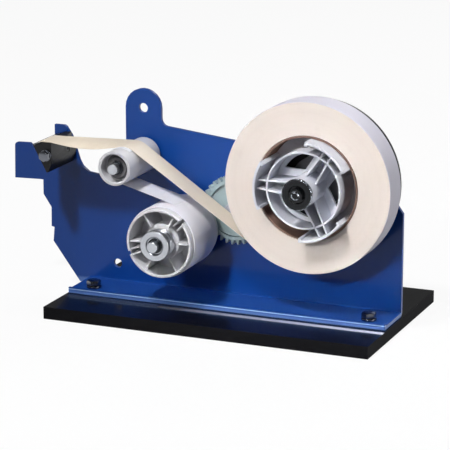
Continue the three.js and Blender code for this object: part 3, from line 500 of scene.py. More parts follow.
def ring_tree():
    tree = Pattern("copies round an axis", Piece="Object", Count="Int", Material="Material")
    count = tree.given["Count"]
    angle = tree.add("GeometryNodeInputIndex") * (-whole / count)
    turn = tree.add("ShaderNodeCombineXYZ", {"Y": angle})
    return tree.close(tree.copies(tree.add("GeometryNodePoints", {"Count": count}), Rotation=turn))


def grown(name, tree, **values):
    """The mesh that a tree makes from its named inputs."""
    host = in_scene(name, bpy.data.meshes.new(name))
    modifier = host.modifiers.new(name, "NODES")
    modifier.node_group = tree
    for item in tree.interface.items_tree:
        if item.in_out == "INPUT":
            modifier[item.identifier] = values[item.name]
    mesh = evaluated_mesh(host)
    host.modifiers.clear()
    host.data = mesh
    return host


copies_round = ring_tree()


def ring_of(name, piece, count, finish, place):
    """Copies of a piece round the Y axis, moved onto their own axis as a plain mesh."""
    made = grown(name, copies_round, Piece=piece, Count=count, Material=finish)
    made.data.transform(place)
    bpy.data.objects.remove(piece)
    return made


print("the ring tree has", len(copies_round.nodes), "nodes")

# %% [markdown]
# The finishes. Each is a shader with a few patterns on it, at the scale of the real surface. The patterns
# read Object coordinates, which are metres from the object's own origin, so they stay put when a view turns
# or a joint moves. The sheet's is stoved gloss paint: orange peel, dull rubs where hands pass, a paler
# flange, which is settled dust and a painted sheen, and a painted highlight along its lip. The last two go by
# height, because nothing else of the sheet is so low.

# %% Finish of the blue sheet
dust_and_sheen_low = 11 * mm
dust_and_sheen_high = 13 * mm
dust_and_sheen_share = 0.7
lip_highlight_low = 12.4 * mm
lip_highlight_high = 13.5 * mm
lip_highlight_front = -35.6 * mm
lip_highlight_back = -35.2 * mm
lip_highlight_share = 0.8


def make_blue_paint():
    finish = Finish("blue_paint", Coat_Roughness=0.06, IOR=1.45, Specular_IOR_Level=0.22)
    place = finish.place()
    _, y, z = finish.split(place)
    cloud = finish.noise(place, scale=9, detail=4)
    peel = finish.noise(place, scale=420, detail=2)
    rub = finish.spread(finish.noise(place, scale=60, detail=6, roughness=0.7), 0.62, 0.74)
    # Paler at the flange, by height: settled dust and a painted sheen.
    pale_layer = finish.spread(z, dust_and_sheen_low, dust_and_sheen_high, dust_and_sheen_share, 0)
    # A painted highlight along the top edge of the flange's lip.
    lip = finish.band(z, lip_highlight_low, lip_highlight_high, 0.3 * mm, 0.2 * mm) * finish.spread(y, lip_highlight_front, lip_highlight_back, 1, 0)
    paint = finish.mix(cloud, colour(8, 57, 132), colour(14, 70, 154))
    paint = finish.mix(rub * 0.2, paint, colour(70, 100, 160))
    paint = finish.mix(pale_layer, paint, colour(104, 140, 208))
    paint = finish.mix(lip * lip_highlight_share, paint, colour(170, 205, 250))
    return finish.shade(Base_Color=paint, Roughness=rub * 0.2 + 0.3, Coat_Weight=0.25 - rub * 0.15,
                        Normal=finish.bump(peel, distance=0.04 * mm, strength=0.25))


blue_paint = make_blue_paint()
print("blue paint:", len(blue_paint.node_tree.nodes), "nodes")

# %% [markdown]
# Two blacks and a sawn edge. The board is semi-gloss laminate with dust and wiping marks, and a pale line
# runs on it in front of the flange. Its edge is dull, with saw marks. The cutter block is black anodised
# metal with milling lines. Noise that is stretched along one axis draws all such lines in one node.

# %% Finishes of the board and of the cutter block
line_front = -47.5 * mm
line_back = -41.5 * mm
line_soft = 0.7 * mm
line_left = -60 * mm
line_right = 100 * mm
line_faint = 0.04
line_strong = 0.9


def make_board_black():
    finish = Finish("board_black", Coat_Roughness=0.05, Specular_IOR_Level=0.2)
    place = finish.place()
    x, y, _ = finish.split(place)
    grain = finish.noise(finish.place(scale=(0.25, 1, 1)), scale=700, detail=4, roughness=0.6)
    pale_layer = finish.spread(finish.noise(place, scale=1500, detail=3, roughness=0.8), 0.66, 0.78)
    haze = finish.noise(place, scale=14, detail=4)
    line = finish.band(y, line_front, line_back, line_soft, line_soft)
    line = line * finish.spread(x, line_left, line_right, line_faint, line_strong)
    black = finish.mix(haze, colour(9, 10, 13), colour(17, 18, 22))
    black = finish.mix(pale_layer * 0.25, black, colour(110, 112, 116))
    black = finish.mix(line, black, colour(222, 222, 238))
    return finish.shade(Base_Color=black, Roughness=haze * 0.1 + 0.16, Coat_Weight=0.12 - pale_layer * 0.1,
                        Normal=finish.bump(grain, distance=0.03 * mm, strength=0.3))


def make_block_black():
    finish = Finish("block_black", Specular_IOR_Level=0.4, Metallic=0.35)
    lines = finish.noise(finish.place(scale=(1, 0.06, 1)), scale=1900, detail=3)
    spots = finish.spread(finish.noise(finish.place(), scale=160, detail=5, roughness=0.7), 0.6, 0.75)
    black = finish.mix(spots * 0.5, colour(22, 23, 26), colour(60, 62, 68))
    return finish.shade(Base_Color=black, Roughness=lines * 0.2 + 0.32,
                        Normal=finish.bump(lines, distance=0.02 * mm, strength=0.4))


def grained(name, dark, pale, grain, relief, stretch=(1, 1, 1), **sockets):
    """A finish whose one grain gives both the colour and the relief."""
    finish = Finish(name, **sockets)
    pattern = finish.noise(finish.place(scale=stretch), **grain)
    finish.shade(Base_Color=finish.mix(pattern, dark, pale), Normal=finish.bump(pattern, **relief))
    return finish


board_black = make_board_black()
block_black = make_block_black()
sawn_black = grained("sawn_black", colour(14, 14, 16), colour(28, 28, 31), {"scale": 3000, "detail": 3},
                     {"distance": 0.03 * mm, "strength": 0.4}, stretch=(0.05, 0.05, 1),
                     Specular_IOR_Level=0.05, Roughness=0.7).material
print("three blacks")

# %% [markdown]
# Hub, drum, roller and gears are moulded. The mould leaves a fine spark-eroded texture, the plastic is
# faintly mottled, and a little light goes into it, which Subsurface gives. Shade is painted dark inside a
# bore, so a finish can be told whose bore is darkened by painted shade, and from what depth on.

# %% Finishes of moulded plastic
bore_shade_colour = colour(40, 39, 42)
bore_shade_share = 0.85
bore_shade_soft = 0.02
bore_shade_mouth = 0.3 * mm
mould_dark = colour(208, 208, 213)
mould_pale = colour(226, 226, 230)


def make_moulding(name, dark, pale, roughness, bored=None, depth=0, reach=0.76):
    """A moulded finish. Where a piece is named, shade is painted inside its bore up to a share of its radius.
    """
    finish = Finish(name, Subsurface_Weight=0.05, Subsurface_Radius=(0.002, 0.002, 0.003), IOR=1.5)
    place = finish.place()
    texture = finish.noise(place, scale=1600, detail=2)
    grime = finish.spread(finish.noise(place, scale=110, detail=5, roughness=0.65), 0.6, 0.8)
    base = finish.mix(finish.noise(place, scale=30), dark, pale)
    base = finish.mix(grime * 0.25, base, colour(120, 118, 120))
    # Painted shade: the named piece's bore is darkened past a depth.
    if bored:
        mouth = finish.place(axis_of(bored).translation + Vector((0, span_of(bored)[0] + depth, 0)))
        out = finish.radius(mouth) / radius_of(bored)
        inside = finish.spread(out, reach - bore_shade_soft, reach + bore_shade_soft, bore_shade_share, 0)
        inside = inside * finish.spread(finish.split(mouth)[1], 0, bore_shade_mouth)
        base = finish.mix(inside, base, bore_shade_colour)
    return finish.shade(Base_Color=base, Roughness=texture * 0.12 + roughness,
                        Normal=finish.bump(texture, distance=0.03 * mm, strength=0.3))


white_plastic = make_moulding("white_plastic", mould_dark, mould_pale, 0.38)
bored_plastic = make_moulding("bored_plastic", mould_dark, mould_pale, 0.38, "idler_roller")
hub_plastic = make_moulding("hub_plastic", colour(206, 208, 218), colour(226, 228, 236), 0.4, "supply_hub",
                            depth=32 * mm, reach=0.71)
nylon = make_moulding("nylon", colour(146, 166, 170), colour(170, 188, 190), 0.34)
print("four mouldings")

# %% [markdown]
# Shafts, nuts and bolts are turned, so fine rings run across their axis, and they are bright, zinc-plated or
# oxidised black. One maker covers these. The cupped washer and the nut at the hub's middle are black steel
# with bright rings painted on as glints where parts would rub and wear, so their finish goes by distance from
# the axis.

# %% Finishes of metal
def make_steel(name, dark, pale, roughness, metallic=1.0, oil=0.0):
    """Turned and plated metal: fine rings, a faint stain and a film of oil."""
    finish = Finish(name, Metallic=metallic, Coat_Weight=oil, Coat_Roughness=0.05)
    rings = finish.noise(finish.place(scale=(0.03, 1, 0.03)), scale=2600, detail=2)
    stain = finish.noise(finish.place(), scale=130, detail=4)
    return finish.shade(Base_Color=finish.mix(stain, dark, pale), Roughness=rings * 0.16 + roughness,
                        Normal=finish.bump(rings, distance=0.02 * mm, strength=0.4))


def make_cap_black():
    """Black steel with painted glints, which stand also for wear, on the washer's rim and round the end of
    the thread.
    """
    finish = Finish("cap_black", Metallic=0.8, Roughness=0.16, Coat_Weight=0.25, Coat_Roughness=0.05)
    place = finish.place(axis_of("hub_cap_washer").translation)
    out = finish.radius(place) / mm
    edge = radius_of("hub_cap_washer") / mm
    # Painted glints: bright rings on the washer's rim and round the thread's end, standing also for wear.
    wear_and_glint = finish.spread(out, edge - 0.8, edge - 0.3) + finish.band(out, low=2, high=3.6, rise=0.4, fall=0.6)
    patchy = finish.spread(finish.noise(place, scale=500), 0.44, 0.56)
    return finish.shade(Base_Color=finish.mix(wear_and_glint * patchy, colour(20, 22, 26), colour(190, 196, 206)))


steel = make_steel("bright_steel", colour(165, 168, 176), colour(205, 208, 214), 0.22)
zinc = make_steel("dull_zinc", colour(76, 79, 87), colour(124, 127, 135), 0.16, oil=0.4)
black_oxide = make_steel("black_oxide", colour(24, 26, 30), colour(46, 50, 56), 0.14, 0.8, 0.2)
cap_black = make_cap_black()
print("four metals")

# %% [markdown]
# The disc behind the roll is black fibre sheet, and a felt washer slips behind the drum. Both are one grain,
# of stamped fibre or of short wool. The roll's core is card, wound in layers that show as rings on its edge,
# with paper fibres among them.

# %% Finishes of the disc, the felt and the card core
def make_card():
    finish = Finish("card_core", Roughness=0.85)
    place = finish.place(axis_of("tape_core").translation)
    wound = finish.layers(finish.radius(place) / mm, scale=3.5, detail=2)
    fibre = finish.noise(place, scale=900, detail=4, roughness=0.6)
    brown = finish.mix(wound, colour(88, 64, 56), colour(138, 106, 92))
    return finish.shade(Base_Color=finish.mix(fibre * 0.3, brown, colour(164, 136, 120)),
                        Normal=finish.bump(wound, distance=0.1 * mm, strength=0.5))


disc_black = grained("disc_black", colour(10, 11, 15), colour(24, 25, 31),
                     {"scale": 900, "detail": 4, "roughness": 0.6}, {"distance": 0.05 * mm, "strength": 0.4},
                     Roughness=0.62).material
felt = grained("felt", colour(52, 48, 44), colour(92, 86, 78),
               {"scale": 2400, "detail": 5, "roughness": 0.7}, {"distance": 0.2 * mm, "strength": 0.7},
               Sheen_Weight=0.4, Roughness=0.95).material
card = make_card()
print("disc, felt and card")

# %% [markdown]
# Tape and liner. Seen on its edge a roll is hundreds of turns, some prouder or paler than others, so noise
# that varies only with the distance from the axis gives them all. The outside of the last turn has its own
# colour. Between the rollers the film is almost one colour, with faint waves across it.

# %% Finishes of the tape and the liner
def make_wound(name, node, dark, pale, outside, rate, roughness):
    finish = Finish(name, Subsurface_Weight=0.08, Subsurface_Radius=(0.003, 0.002, 0.0015))
    place = finish.place(axis_of(node).translation)
    out = finish.radius(place) / mm
    edge = radius_of(node) / mm
    turns = finish.layers(out, scale=rate, detail=3)
    bands = finish.layers(out, scale=0.22, detail=1)
    soiled = finish.spread(finish.noise(place, scale=70, detail=5, roughness=0.65), 0.58, 0.8)
    base = finish.mix(turns * 0.5 + bands * 0.5, dark, pale)
    base = finish.mix(soiled * 0.25, base, colour(190, 176, 164))
    base = finish.mix(finish.spread(out, edge - 0.5, edge - 0.1), base, outside)
    return finish.shade(Base_Color=base, Roughness=turns * 0.2 + roughness,
                        Normal=finish.bump(turns, distance=0.05 * mm, strength=0.5))


def make_film(name, dark, pale, roughness):
    finish = grained(name, dark, pale, {"scale": 120, "detail": 3}, {"distance": 0.06 * mm, "strength": 0.3},
                     stretch=(1, 0.2, 1), Subsurface_Weight=0.06, Subsurface_Radius=(0.002, 0.002, 0.0015))
    return finish.shade(Roughness=finish.noise(finish.place(), scale=1200, detail=2) * 0.1 + roughness)


tape_edge = make_wound("tape_edge", "tape_roll", colour(219, 208, 200), colour(229, 219, 211),
                       colour(207, 205, 217), 9, 0.5)
liner_edge = make_wound("liner_edge", "wound_liner", colour(206, 206, 216), colour(236, 236, 242),
                        colour(242, 241, 250), 12, 0.45)
tape_film = make_film("tape_film", colour(236, 222, 202), colour(246, 234, 216), 0.4)
liner_film = make_film("liner_film", colour(232, 233, 242), colour(244, 245, 250), 0.35)
print("tape and liner")

# %% [markdown]
# A piece of the scene either stands for a CAD node or is the node itself with a better finish. One helper
# gives it its finish and its body, read from the imported record by name, and hides the node that it stands
# for.

# %% Who carries what
shown = []


def settle(piece, node, finish):
    """A finished piece takes the place of a CAD node: its body and its finish."""
    piece.data.materials.clear()
    piece.data.materials.append(finish)
    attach(piece, body_of[node])
    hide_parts(node)
    shown.append(piece)
    return piece


def coat(node, finish):
    """A CAD node that is shown as it is gets a finish of its own."""
    mesh = frame["nodes"][node].data
    mesh.materials.clear()
    mesh.materials.append(finish)


def plain_ring(name, node, bore, place, finish, ends=None, **how):
    """A ring from a bore to the node's own outside, between its own front and back unless ends are given."""
    profile = rectangle(bore, radius_of(node), *(ends or span_of(node)))
    return settle(turned(name, profile, place, **how), node, finish)


print("settle, coat and plain_ring are ready")

# %% [markdown]
# The board is plain: sawn laminate with its arrises just broken. The blue sheet is one bending with punched
# holes. Both keep the CAD's exact shape, so they start as copies of it, with edges eased by a Bevel modifier.

# %% Board, sheet and cutter block
arris = 0.5 * mm
sheet_arris = 0.35 * mm
upright_below = 0.5

board = settle(eased_copy("board", "base_board", arris), "base_board", board_black)
board.data.materials.append(sawn_black)
for face in board.data.polygons:
    face.material_index = int(abs(face.normal.z) < upright_below)
sheet = settle(eased_copy("bent_sheet", "frame_wall", sheet_arris), "frame_wall", blue_paint)
settle(eased_copy("knife_block", "cutter_block", arris), "cutter_block", block_black)
print("board and sheet:", len(board.data.polygons), len(sheet.data.polygons), "faces")

# %% [markdown]
# The roll is hundreds of turns of film on a card core. Its faces are flat and its rim is a little soft, so a
# turned profile with an eased edge is right, and the turns themselves are in the finish.

# %% Roll and core
gap = 0.3 * mm
roll_axis = axis_of("tape_roll")
roll_front, roll_back = span_of("tape_roll")
roll_radius = radius_of("tape_roll")
core_bore = 38.1 * mm

plain_ring("wound_tape", "tape_roll", radius_of("tape_core") + gap, roll_axis, tape_edge, sides=180,
           reach=0.6 * mm)
plain_ring("card_core", "tape_core", core_bore, roll_axis, card, (roll_front, roll_back), sides=128,
           reach=0.4 * mm)
disc_front, disc_back = span_of("backing_disc")
disc_profile = rectangle(0, radius_of("backing_disc"), disc_front, disc_back)
settle(turned("roll_disc", disc_profile, roll_axis, closed=False, sides=128), "backing_disc", disc_black)
print("roll of radius", round(roll_radius / mm, 1), "mm")

# %% [markdown]
# The hub is one moulding. A ring stands on a web with three windows, and three pairs of arms reach out
# through the ring to springy fins that press on the core. The arms and the fin are drawn once and repeated by
# the ring tree, as the mould itself repeats them.

# %% Sizes of the hub
arm_count = 3
arm_start = math.radians(176.7)
arm_wall = 1.5 * mm
arm_spread = 9.5 * mm
arm_waist = 6 * mm
fin_radius = core_bore - gap
fin_wall = 1.9 * mm
fin_half = math.radians(29)
fin_lip = 1.4 * mm
fin_lip_angle = math.radians(3)
hub_ring_radius = 29.2 * mm
hub_ring_wall = 1.5 * mm
hub_boss_radius = 11.5 * mm
hub_boss_front = roll_front - 17.5 * mm
hub_ring_front = roll_front - 7.5 * mm
hub_fin_front = roll_front - 13 * mm
hub_web_front = roll_front + 11.5 * mm
hub_web = 2.5 * mm
hub_bore = 6.3 * mm
window_radius = 24.5 * mm
window_inset = 10.8 * mm
key_width = 22 * mm
spacer_radius = 20 * mm
print("hub of", arm_count, "pairs of arms, across the fins", round(2 * fin_radius / mm, 1), "mm")


# %% Hub moulding
def arm_outline(side):
    """One arm in X and Z, reaching out along +X from the boss to the fin."""
    start = hub_boss_radius - arm_wall
    stop = fin_radius - fin_wall / 2
    half = arm_wall / 2
    return [(start, side * arm_spread / 2 - half), (stop, side * arm_waist / 2 - half),
            (stop, side * arm_waist / 2 + half), (start, side * arm_spread / 2 + half)]


def fin_outline():
    """A fin: a strip on an arc whose two ends turn in to a lip."""
    inner = fin_radius - fin_wall
    lip = inner - fin_lip
    turn = fin_half - fin_lip_angle
    return [*arc(fin_radius, -fin_half, fin_half, 20), polar(lip, fin_half), polar(lip, turn),
            *arc(inner, turn, -turn, 18), polar(lip, -turn), polar(lip, -fin_half)]


def window_outline(angle):
    """A window between two pairs of arms, with edges that run beside the arms."""
    corner = math.asin(window_inset / window_radius)
    apex = polar(window_inset / math.sin(whole / 6), angle)
    return [apex] + arc(window_radius, angle - whole / 6 + corner, angle + whole / 6 - corner, 12)


def hub_sector():
    """One pair of arms and their fin, turned to where the first of them stands."""
    parts = [pressed(f"arm_{side}", [arm_outline(side)], hub_ring_front, roll_back, reach=0.3 * mm)
             for side in (-1, 1)]
    parts.append(pressed("fin", [fin_outline()], hub_fin_front, roll_back, reach=0.35 * mm))
    sector = one_piece("hub_sector", parts)
    sector.data.transform(Matrix.Rotation(-arm_start, 4, "Y"))
    return sector


def make_hub():
    ring_middle = hub_ring_radius - hub_ring_wall / 2
    web_back = roll_back - hub_web
    windows = [window_outline(arm_start + whole / 2 + whole * i / arm_count) for i in range(arm_count)]
    web = [circle(ring_middle, 96), *windows]
    ring = rectangle(hub_ring_radius - hub_ring_wall, hub_ring_radius, hub_ring_front, roll_back)
    spacer = rectangle(hub_bore, spacer_radius, web_back, disc_front - gap)
    parts = [
        turned("ring", ring, roll_axis, sides=128, reach=0.4 * mm),
        turned("flange", rectangle(ring_middle, fin_radius, web_back, roll_back), roll_axis, sides=128),
        turned("boss", rectangle(hub_bore, hub_boss_radius, hub_boss_front, roll_back), roll_axis, sides=72,
               reach=0.5 * mm),
        pressed("web", web, hub_web_front, hub_web_front + hub_web, roll_axis),
        turned("spacer", spacer, roll_axis),
        pressed("key", [circle(key_width / math.sqrt(3), 6)], web_back, span_of("supply_hub")[1], roll_axis),
        ring_of("sectors", hub_sector(), arm_count, hub_plastic, roll_axis),
    ]
    return even(one_piece("hub_moulding", parts))


hub = settle(make_hub(), "supply_hub", hub_plastic)
print("hub moulding:", len(hub.data.polygons), "faces")

# %% [markdown]
# Shafts, studs and what holds them. Each stud has a journal with a groove for its clip, a shoulder that bears
# on the sheet, and a thread through it to a washer and a nut behind. The thread is a row of plain ridges,
# because at this size a helix and ridges can't be told apart.

# %% Threads, studs and clips
thread_pitch = 1 * mm
thread_depth = 0.35 * mm
crest_start = 0.25
crest_stop = 0.75
shoulder_step = 3 * mm
shoulder_length = 2.9 * mm
idler_shoulder = 3.5 * mm
groove_depth = 0.9 * mm
clip_wall = 1.6 * mm
sheet_back = 3 * mm
transfer_journal = 5 * mm
drum_journal = 4.2 * mm
idler_journal = 4 * mm
thread_of = {"supply_shaft": 4 * mm, "transfer_stud": 3 * mm, "take_up_shaft": 4 * mm, "idler_shaft": 3 * mm,
             "block_bolt": 2 * mm}


def ridges(radius, start, stop):
    """A thread between two places along Y, drawn as ridges and hollows."""
    points = []
    for i in range(int((stop - start) / thread_pitch)):
        points.append((radius, start + thread_pitch * (i + crest_start)))
        points.append((radius - thread_depth, start + thread_pitch * (i + crest_stop)))
    return points


def seat(node, journal, shoulder=shoulder_length):
    """The rear of a shaft's profile: its shoulder on the sheet and its thread behind."""
    wide = journal + shoulder_step
    thread = thread_of[node]
    back = span_of(node)[1]
    return [(journal, -gap - shoulder), (wide, -gap - shoulder), (wide, -gap), (thread, -gap),
            *ridges(thread, sheet_back, back - thread_pitch), (thread - thread_depth, back), (0, back)]


def shaft(name, node, profile, finish):
    return settle(turned(name, profile, axis_of(node), closed=False, sides=64, reach=0.5 * mm), node, finish)


def stud(name, node, clip, journal, shoulder=shoulder_length):
    front = span_of(node)[0]
    clip_front, clip_back = span_of(clip)
    groove = journal - groove_depth
    profile = [(0, front), (journal, front), (journal, clip_front - gap), (groove, clip_front - gap),
               (groove, clip_back + gap), (journal, clip_back + gap), *seat(node, journal, shoulder)]
    return shaft(name, node, profile, steel)


def clip_ring(name, node, axle, journal, mouth, finish):
    """An open retaining ring: round outside, and a throat where its mouth is."""
    start = mouth + whole / 12
    stop = mouth + whole - whole / 12
    outline = arc(journal + clip_wall, start, stop, 40) + arc(journal - groove_depth + gap, stop, start, 32)
    return settle(even(pressed(name, [outline], *span_of(node), axis_of(axle))), node, finish)


stud("transfer_pin", "transfer_stud", "transfer_clip", transfer_journal)
stud("drum_shaft", "take_up_shaft", "take_up_clip", drum_journal)
stud("roller_shaft", "idler_shaft", "idler_clip", idler_journal, idler_shoulder)
clip_ring("transfer_ring", "transfer_clip", "transfer_stud", transfer_journal, whole / 4, steel)
clip_ring("drum_ring", "take_up_clip", "take_up_shaft", drum_journal, whole * 5 / 8, black_oxide)
clip_ring("roller_ring", "idler_clip", "idler_shaft", idler_journal, whole * 3 / 8, black_oxide)
print("three studs and three clips")

# %% [markdown]
# The hub turns on a shaft of its own. A cupped washer and a nut hold it from the front, and the shaft's
# thread sticks out of the nut. Shaft and washer are turned, and the cup is just a step in the profile.

# %% Hub shaft, its cupped washer and its nut
hub_journal = 6 * mm
hub_thread = 3.1 * mm
hub_nut_width = 10.1 * mm
hub_nut_bore = 3.2 * mm


def cupped(name, node, place, finish, bore, cup, depth):
    """A washer with a cup sunk in its front."""
    front, back = span_of(node)
    outer = radius_of(node)
    floor = front + depth
    profile = [(bore, floor), (cup, floor), (cup, front), (outer, front), (outer, back), (bore, back)]
    return settle(turned(name, profile, place, reach=0.6 * mm), node, finish)


shaft_front = span_of("supply_shaft")[0]
step = hub_boss_front + gap
profile = [
    (0, shaft_front), (hub_thread - thread_depth, shaft_front),
    *ridges(hub_thread, shaft_front + thread_pitch / 4, step - thread_pitch),
    (hub_thread, step), (hub_journal, step), *seat("supply_shaft", hub_journal),
]
shaft("hub_shaft", "supply_shaft", profile, cap_black)
cupped("cupped_washer", "hub_cap_washer", roll_axis, cap_black, bore=3.4 * mm, cup=6.5 * mm, depth=1.2 * mm)
hub_nut = hexed("hub_nut", hub_nut_width, *span_of("hub_cap_nut"), hub_nut_bore, roll_axis)
settle(hub_nut, "hub_cap_nut", cap_black)
print("hub shaft, washer and nut")

# %% [markdown]
# Behind the sheet every shaft has the same two pieces, a plain washer and a nut, and only the thread's size
# differs. So the table of threads and one loop make all ten.

# %% Nuts and washers behind the sheet
for bolt, thread in thread_of.items():
    place = axis_of(f"{bolt}_nut")
    low, high = span_of(f"{bolt}_nut", 2)
    nut = hexed(f"nut_of_{bolt}", high - low, *span_of(f"{bolt}_nut"), thread, place)
    settle(nut, f"{bolt}_nut", steel)
    plain_ring(f"washer_of_{bolt}", f"{bolt}_washer", thread + gap, place, steel, sides=64)
print(len(thread_of), "nuts and washers")

# %% [markdown]
# The three gears share one tooth size. A tooth's flank is an involute, the curve that a taut string draws as
# it unwinds from a drum, so that the teeth roll on each other at an even speed. One tooth is drawn, and the
# ring tree sets the rest.

# %% Teeth
module = 1.5 * mm
addendum = module
dedendum = 1.25 * module
backlash = 0.3 * mm
pressure = math.radians(20)
train_angle = math.radians(23.58)
tooth_counts = {"supply_gear": 70, "transfer_gear": 34, "take_up_gear": 22}
flank_steps = 5


def involute(angle):
    return math.tan(angle) - angle


def tooth_outline(count, phase):
    """One tooth in X and Z, sunk a little into the rim that carries it."""
    pitch = module * count / 2
    base = pitch * math.cos(pressure)
    root = pitch - dedendum
    half = (whole * module / 4 - backlash) / pitch / 2

    def half_at(radius):
        return half + involute(pressure) - involute(math.acos(min(1, base / radius)))

    radii = [root - module / 3]
    radii += [root + (addendum + dedendum) * i / flank_steps for i in range(flank_steps + 1)]
    left = [polar(radius, phase - half_at(radius)) for radius in radii]
    right = [polar(radius, phase + half_at(radius)) for radius in reversed(radii)]
    return left + right


def meshed(direction, count):
    """The phase that puts a tooth of a gear in a gap of the transfer gear, which sees it in a direction."""
    turn = (train_angle - direction) * tooth_counts["transfer_gear"] + whole / 2
    return direction + whole / 2 - turn / count


phases = {
    "transfer_gear": train_angle,
    "supply_gear": meshed(train_angle, tooth_counts["supply_gear"]),
    "take_up_gear": meshed(train_angle + whole / 2, tooth_counts["take_up_gear"]),
}
print("tooth height", (addendum + dedendum) / mm, "mm")


# %% Gears
gear_back = -3.5 * mm
gear_front = gear_back - 6.5 * mm
recess = 1.8 * mm
transfer_boss_front = gear_front - 2 * mm


def toothed(name, node, place, bore, boss, boss_front=gear_front, boss_back=gear_back):
    """A gear: teeth on a rim, a thinner web where there is room for one, and a boss with its bore."""
    count = tooth_counts[node]
    root = module * count / 2 - dedendum
    rim = root - 2 * module
    front_face = [(boss, gear_front)]
    back_face = [(boss, gear_back)]
    if rim > boss + 2 * recess:
        front_face = [(boss, gear_front + recess), (rim, gear_front + recess), (rim, gear_front)]
        back_face = [(rim, gear_back), (rim, gear_back - recess), (boss, gear_back - recess)]
    profile = [(bore, boss_front), (boss, boss_front), *front_face, (root, gear_front), (root, gear_back),
               *back_face, (boss, boss_back), (bore, boss_back)]
    body = turned("body", profile, place, sides=128, reach=0.35 * mm)
    tooth = pressed("tooth", [tooth_outline(count, phases[node])], gear_front, gear_back, reach=0.15 * mm)
    teeth = ring_of("teeth", tooth, count, nylon, place)
    return settle(even(one_piece(name, [body, teeth])), node, nylon)


drum_axis = axis_of("take_up_shaft")
sleeve_front = span_of("take_up_gear")[0]
toothed("transfer_wheel", "transfer_gear", axis_of("transfer_stud"), bore=5.3 * mm, boss=9.8 * mm,
        boss_front=transfer_boss_front)
toothed("roll_wheel", "supply_gear", roll_axis, bore=6.3 * mm, boss=20 * mm)
toothed("drum_wheel", "take_up_gear", drum_axis, bore=4.5 * mm, boss=7.5 * mm, boss_front=sleeve_front,
        boss_back=gear_back + gap / 10)
print("gears:", tooth_counts)

# %% [markdown]
# The take-up drum is a thin shell on six ribs round a long boss. Two slots in its rim hold the end of the
# liner between small fingers. The shell is turned, the slots are cut by a Boolean, and the ribs are repeated.

# %% Sizes of the take-up drum
drum_front, drum_back = span_of("take_up_drum")
drum_radius = radius_of("take_up_drum")
drum_wall = 2 * mm
drum_bore = 7.8 * mm
drum_boss = 13.8 * mm
drum_boss_front = drum_front + 7.3 * mm
drum_floor = drum_front + 24 * mm
rib_count = 6
rib_wall = 1.3 * mm
rib_start = math.radians(2)
rib_front = drum_front + 2.3 * mm
slot_angles = [math.radians(201.5), math.radians(45)]
slot_half = 1.5 * mm
slot_back = drum_front + 17 * mm
finger_wall = 1.2 * mm
finger_reach = 6.5 * mm
print("drum of radius", round(drum_radius / mm, 1), "mm with", rib_count, "ribs")


# %% Take-up drum
def cut(piece, cutters):
    """A piece with other shapes cut out of it, as a plain mesh."""
    for cutter in cutters:
        modifier = piece.modifiers.new("cut", "BOOLEAN")
        modifier.operation = "DIFFERENCE"
        modifier.solver = "EXACT"
        modifier.object = cutter
        made = evaluated_mesh(piece)
        piece.modifiers.clear()
        piece.data = made
        bpy.data.objects.remove(cutter)
    return piece


def bar(name, inner, outer, low, high, front, back, angle):
    """A flat bar that reaches out from the axis at an angle."""
    turn = Matrix.Rotation(-angle, 4, "Y")
    return pressed(name, [rectangle(inner, outer, low, high)], front, back, turn, reach=0.25 * mm)


def make_drum():
    inside = drum_radius - drum_wall
    middle = drum_radius - drum_wall / 2
    slots = [bar("slot", drum_radius - finger_reach, drum_radius + drum_wall, -slot_half, slot_half,
                 drum_front - drum_wall, slot_back, angle) for angle in slot_angles]
    shell = rectangle(inside, drum_radius, drum_front, drum_back)
    parts = [cut(turned("shell", shell, sides=160, reach=0.5 * mm), slots)]
    for angle in slot_angles:
        for low in (-slot_half - finger_wall, slot_half):
            parts.append(bar("finger", inside - finger_reach, middle, low, low + finger_wall, rib_front,
                             slot_back, angle))
    parts.append(turned("boss", rectangle(drum_bore, drum_boss, drum_boss_front, drum_back)))
    parts.append(turned("floor", rectangle(drum_boss - gap, middle, drum_floor, drum_floor + drum_wall)))
    rib = bar("rib", drum_boss - gap, middle, -rib_wall / 2, rib_wall / 2, rib_front, drum_back, rib_start)
    parts.append(ring_of("ribs", rib, rib_count, white_plastic, Matrix()))
    drum = one_piece("liner_drum", parts)
    drum.data.transform(drum_axis)
    return even(drum)


drum = settle(make_drum(), "take_up_drum", white_plastic)
plain_ring("liner_turns", "wound_liner", drum_radius + gap / 3, drum_axis, liner_edge, sides=160,
           reach=0.3 * mm)
print("drum:", len(drum.data.polygons), "faces")

# %% [markdown]
# In front of the drum's boss a coil spring pushes on a steel collar, and a felt washer behind the drum slips
# when the liner is taut. The coil is a spiral curve with a round wire swept along it, made by a second tree.

# %% Spring, collar and felt
coil_turns = 4
coil_radius = 10 * mm
coil_wire = 0.8 * mm
coil_steps = 48
wire_sides = 14
wire_edge = 50
spring_back = drum_boss_front - gap - coil_wire
spring_length = spring_back - coil_wire - sleeve_front


def coil_tree():
    tree = Pattern("coil of wire", Turns="Float", Radius="Float", Wire="Float", Length="Float",
                   Material="Material")
    turns, radius, wire, length, _ = tree.given.values()
    sizes = {"Start Radius": radius, "End Radius": radius, "Height": length}
    spiral = tree.add("GeometryNodeCurveSpiral", {"Resolution": coil_steps, "Rotations": turns, **sizes})
    section = tree.add("GeometryNodeCurvePrimitiveCircle", {"Resolution": wire_sides, "Radius": wire})
    values = {"Curve": spiral, "Profile Curve": section, "Fill Caps": True}
    return tree.close(tree.add("GeometryNodeCurveToMesh", values))


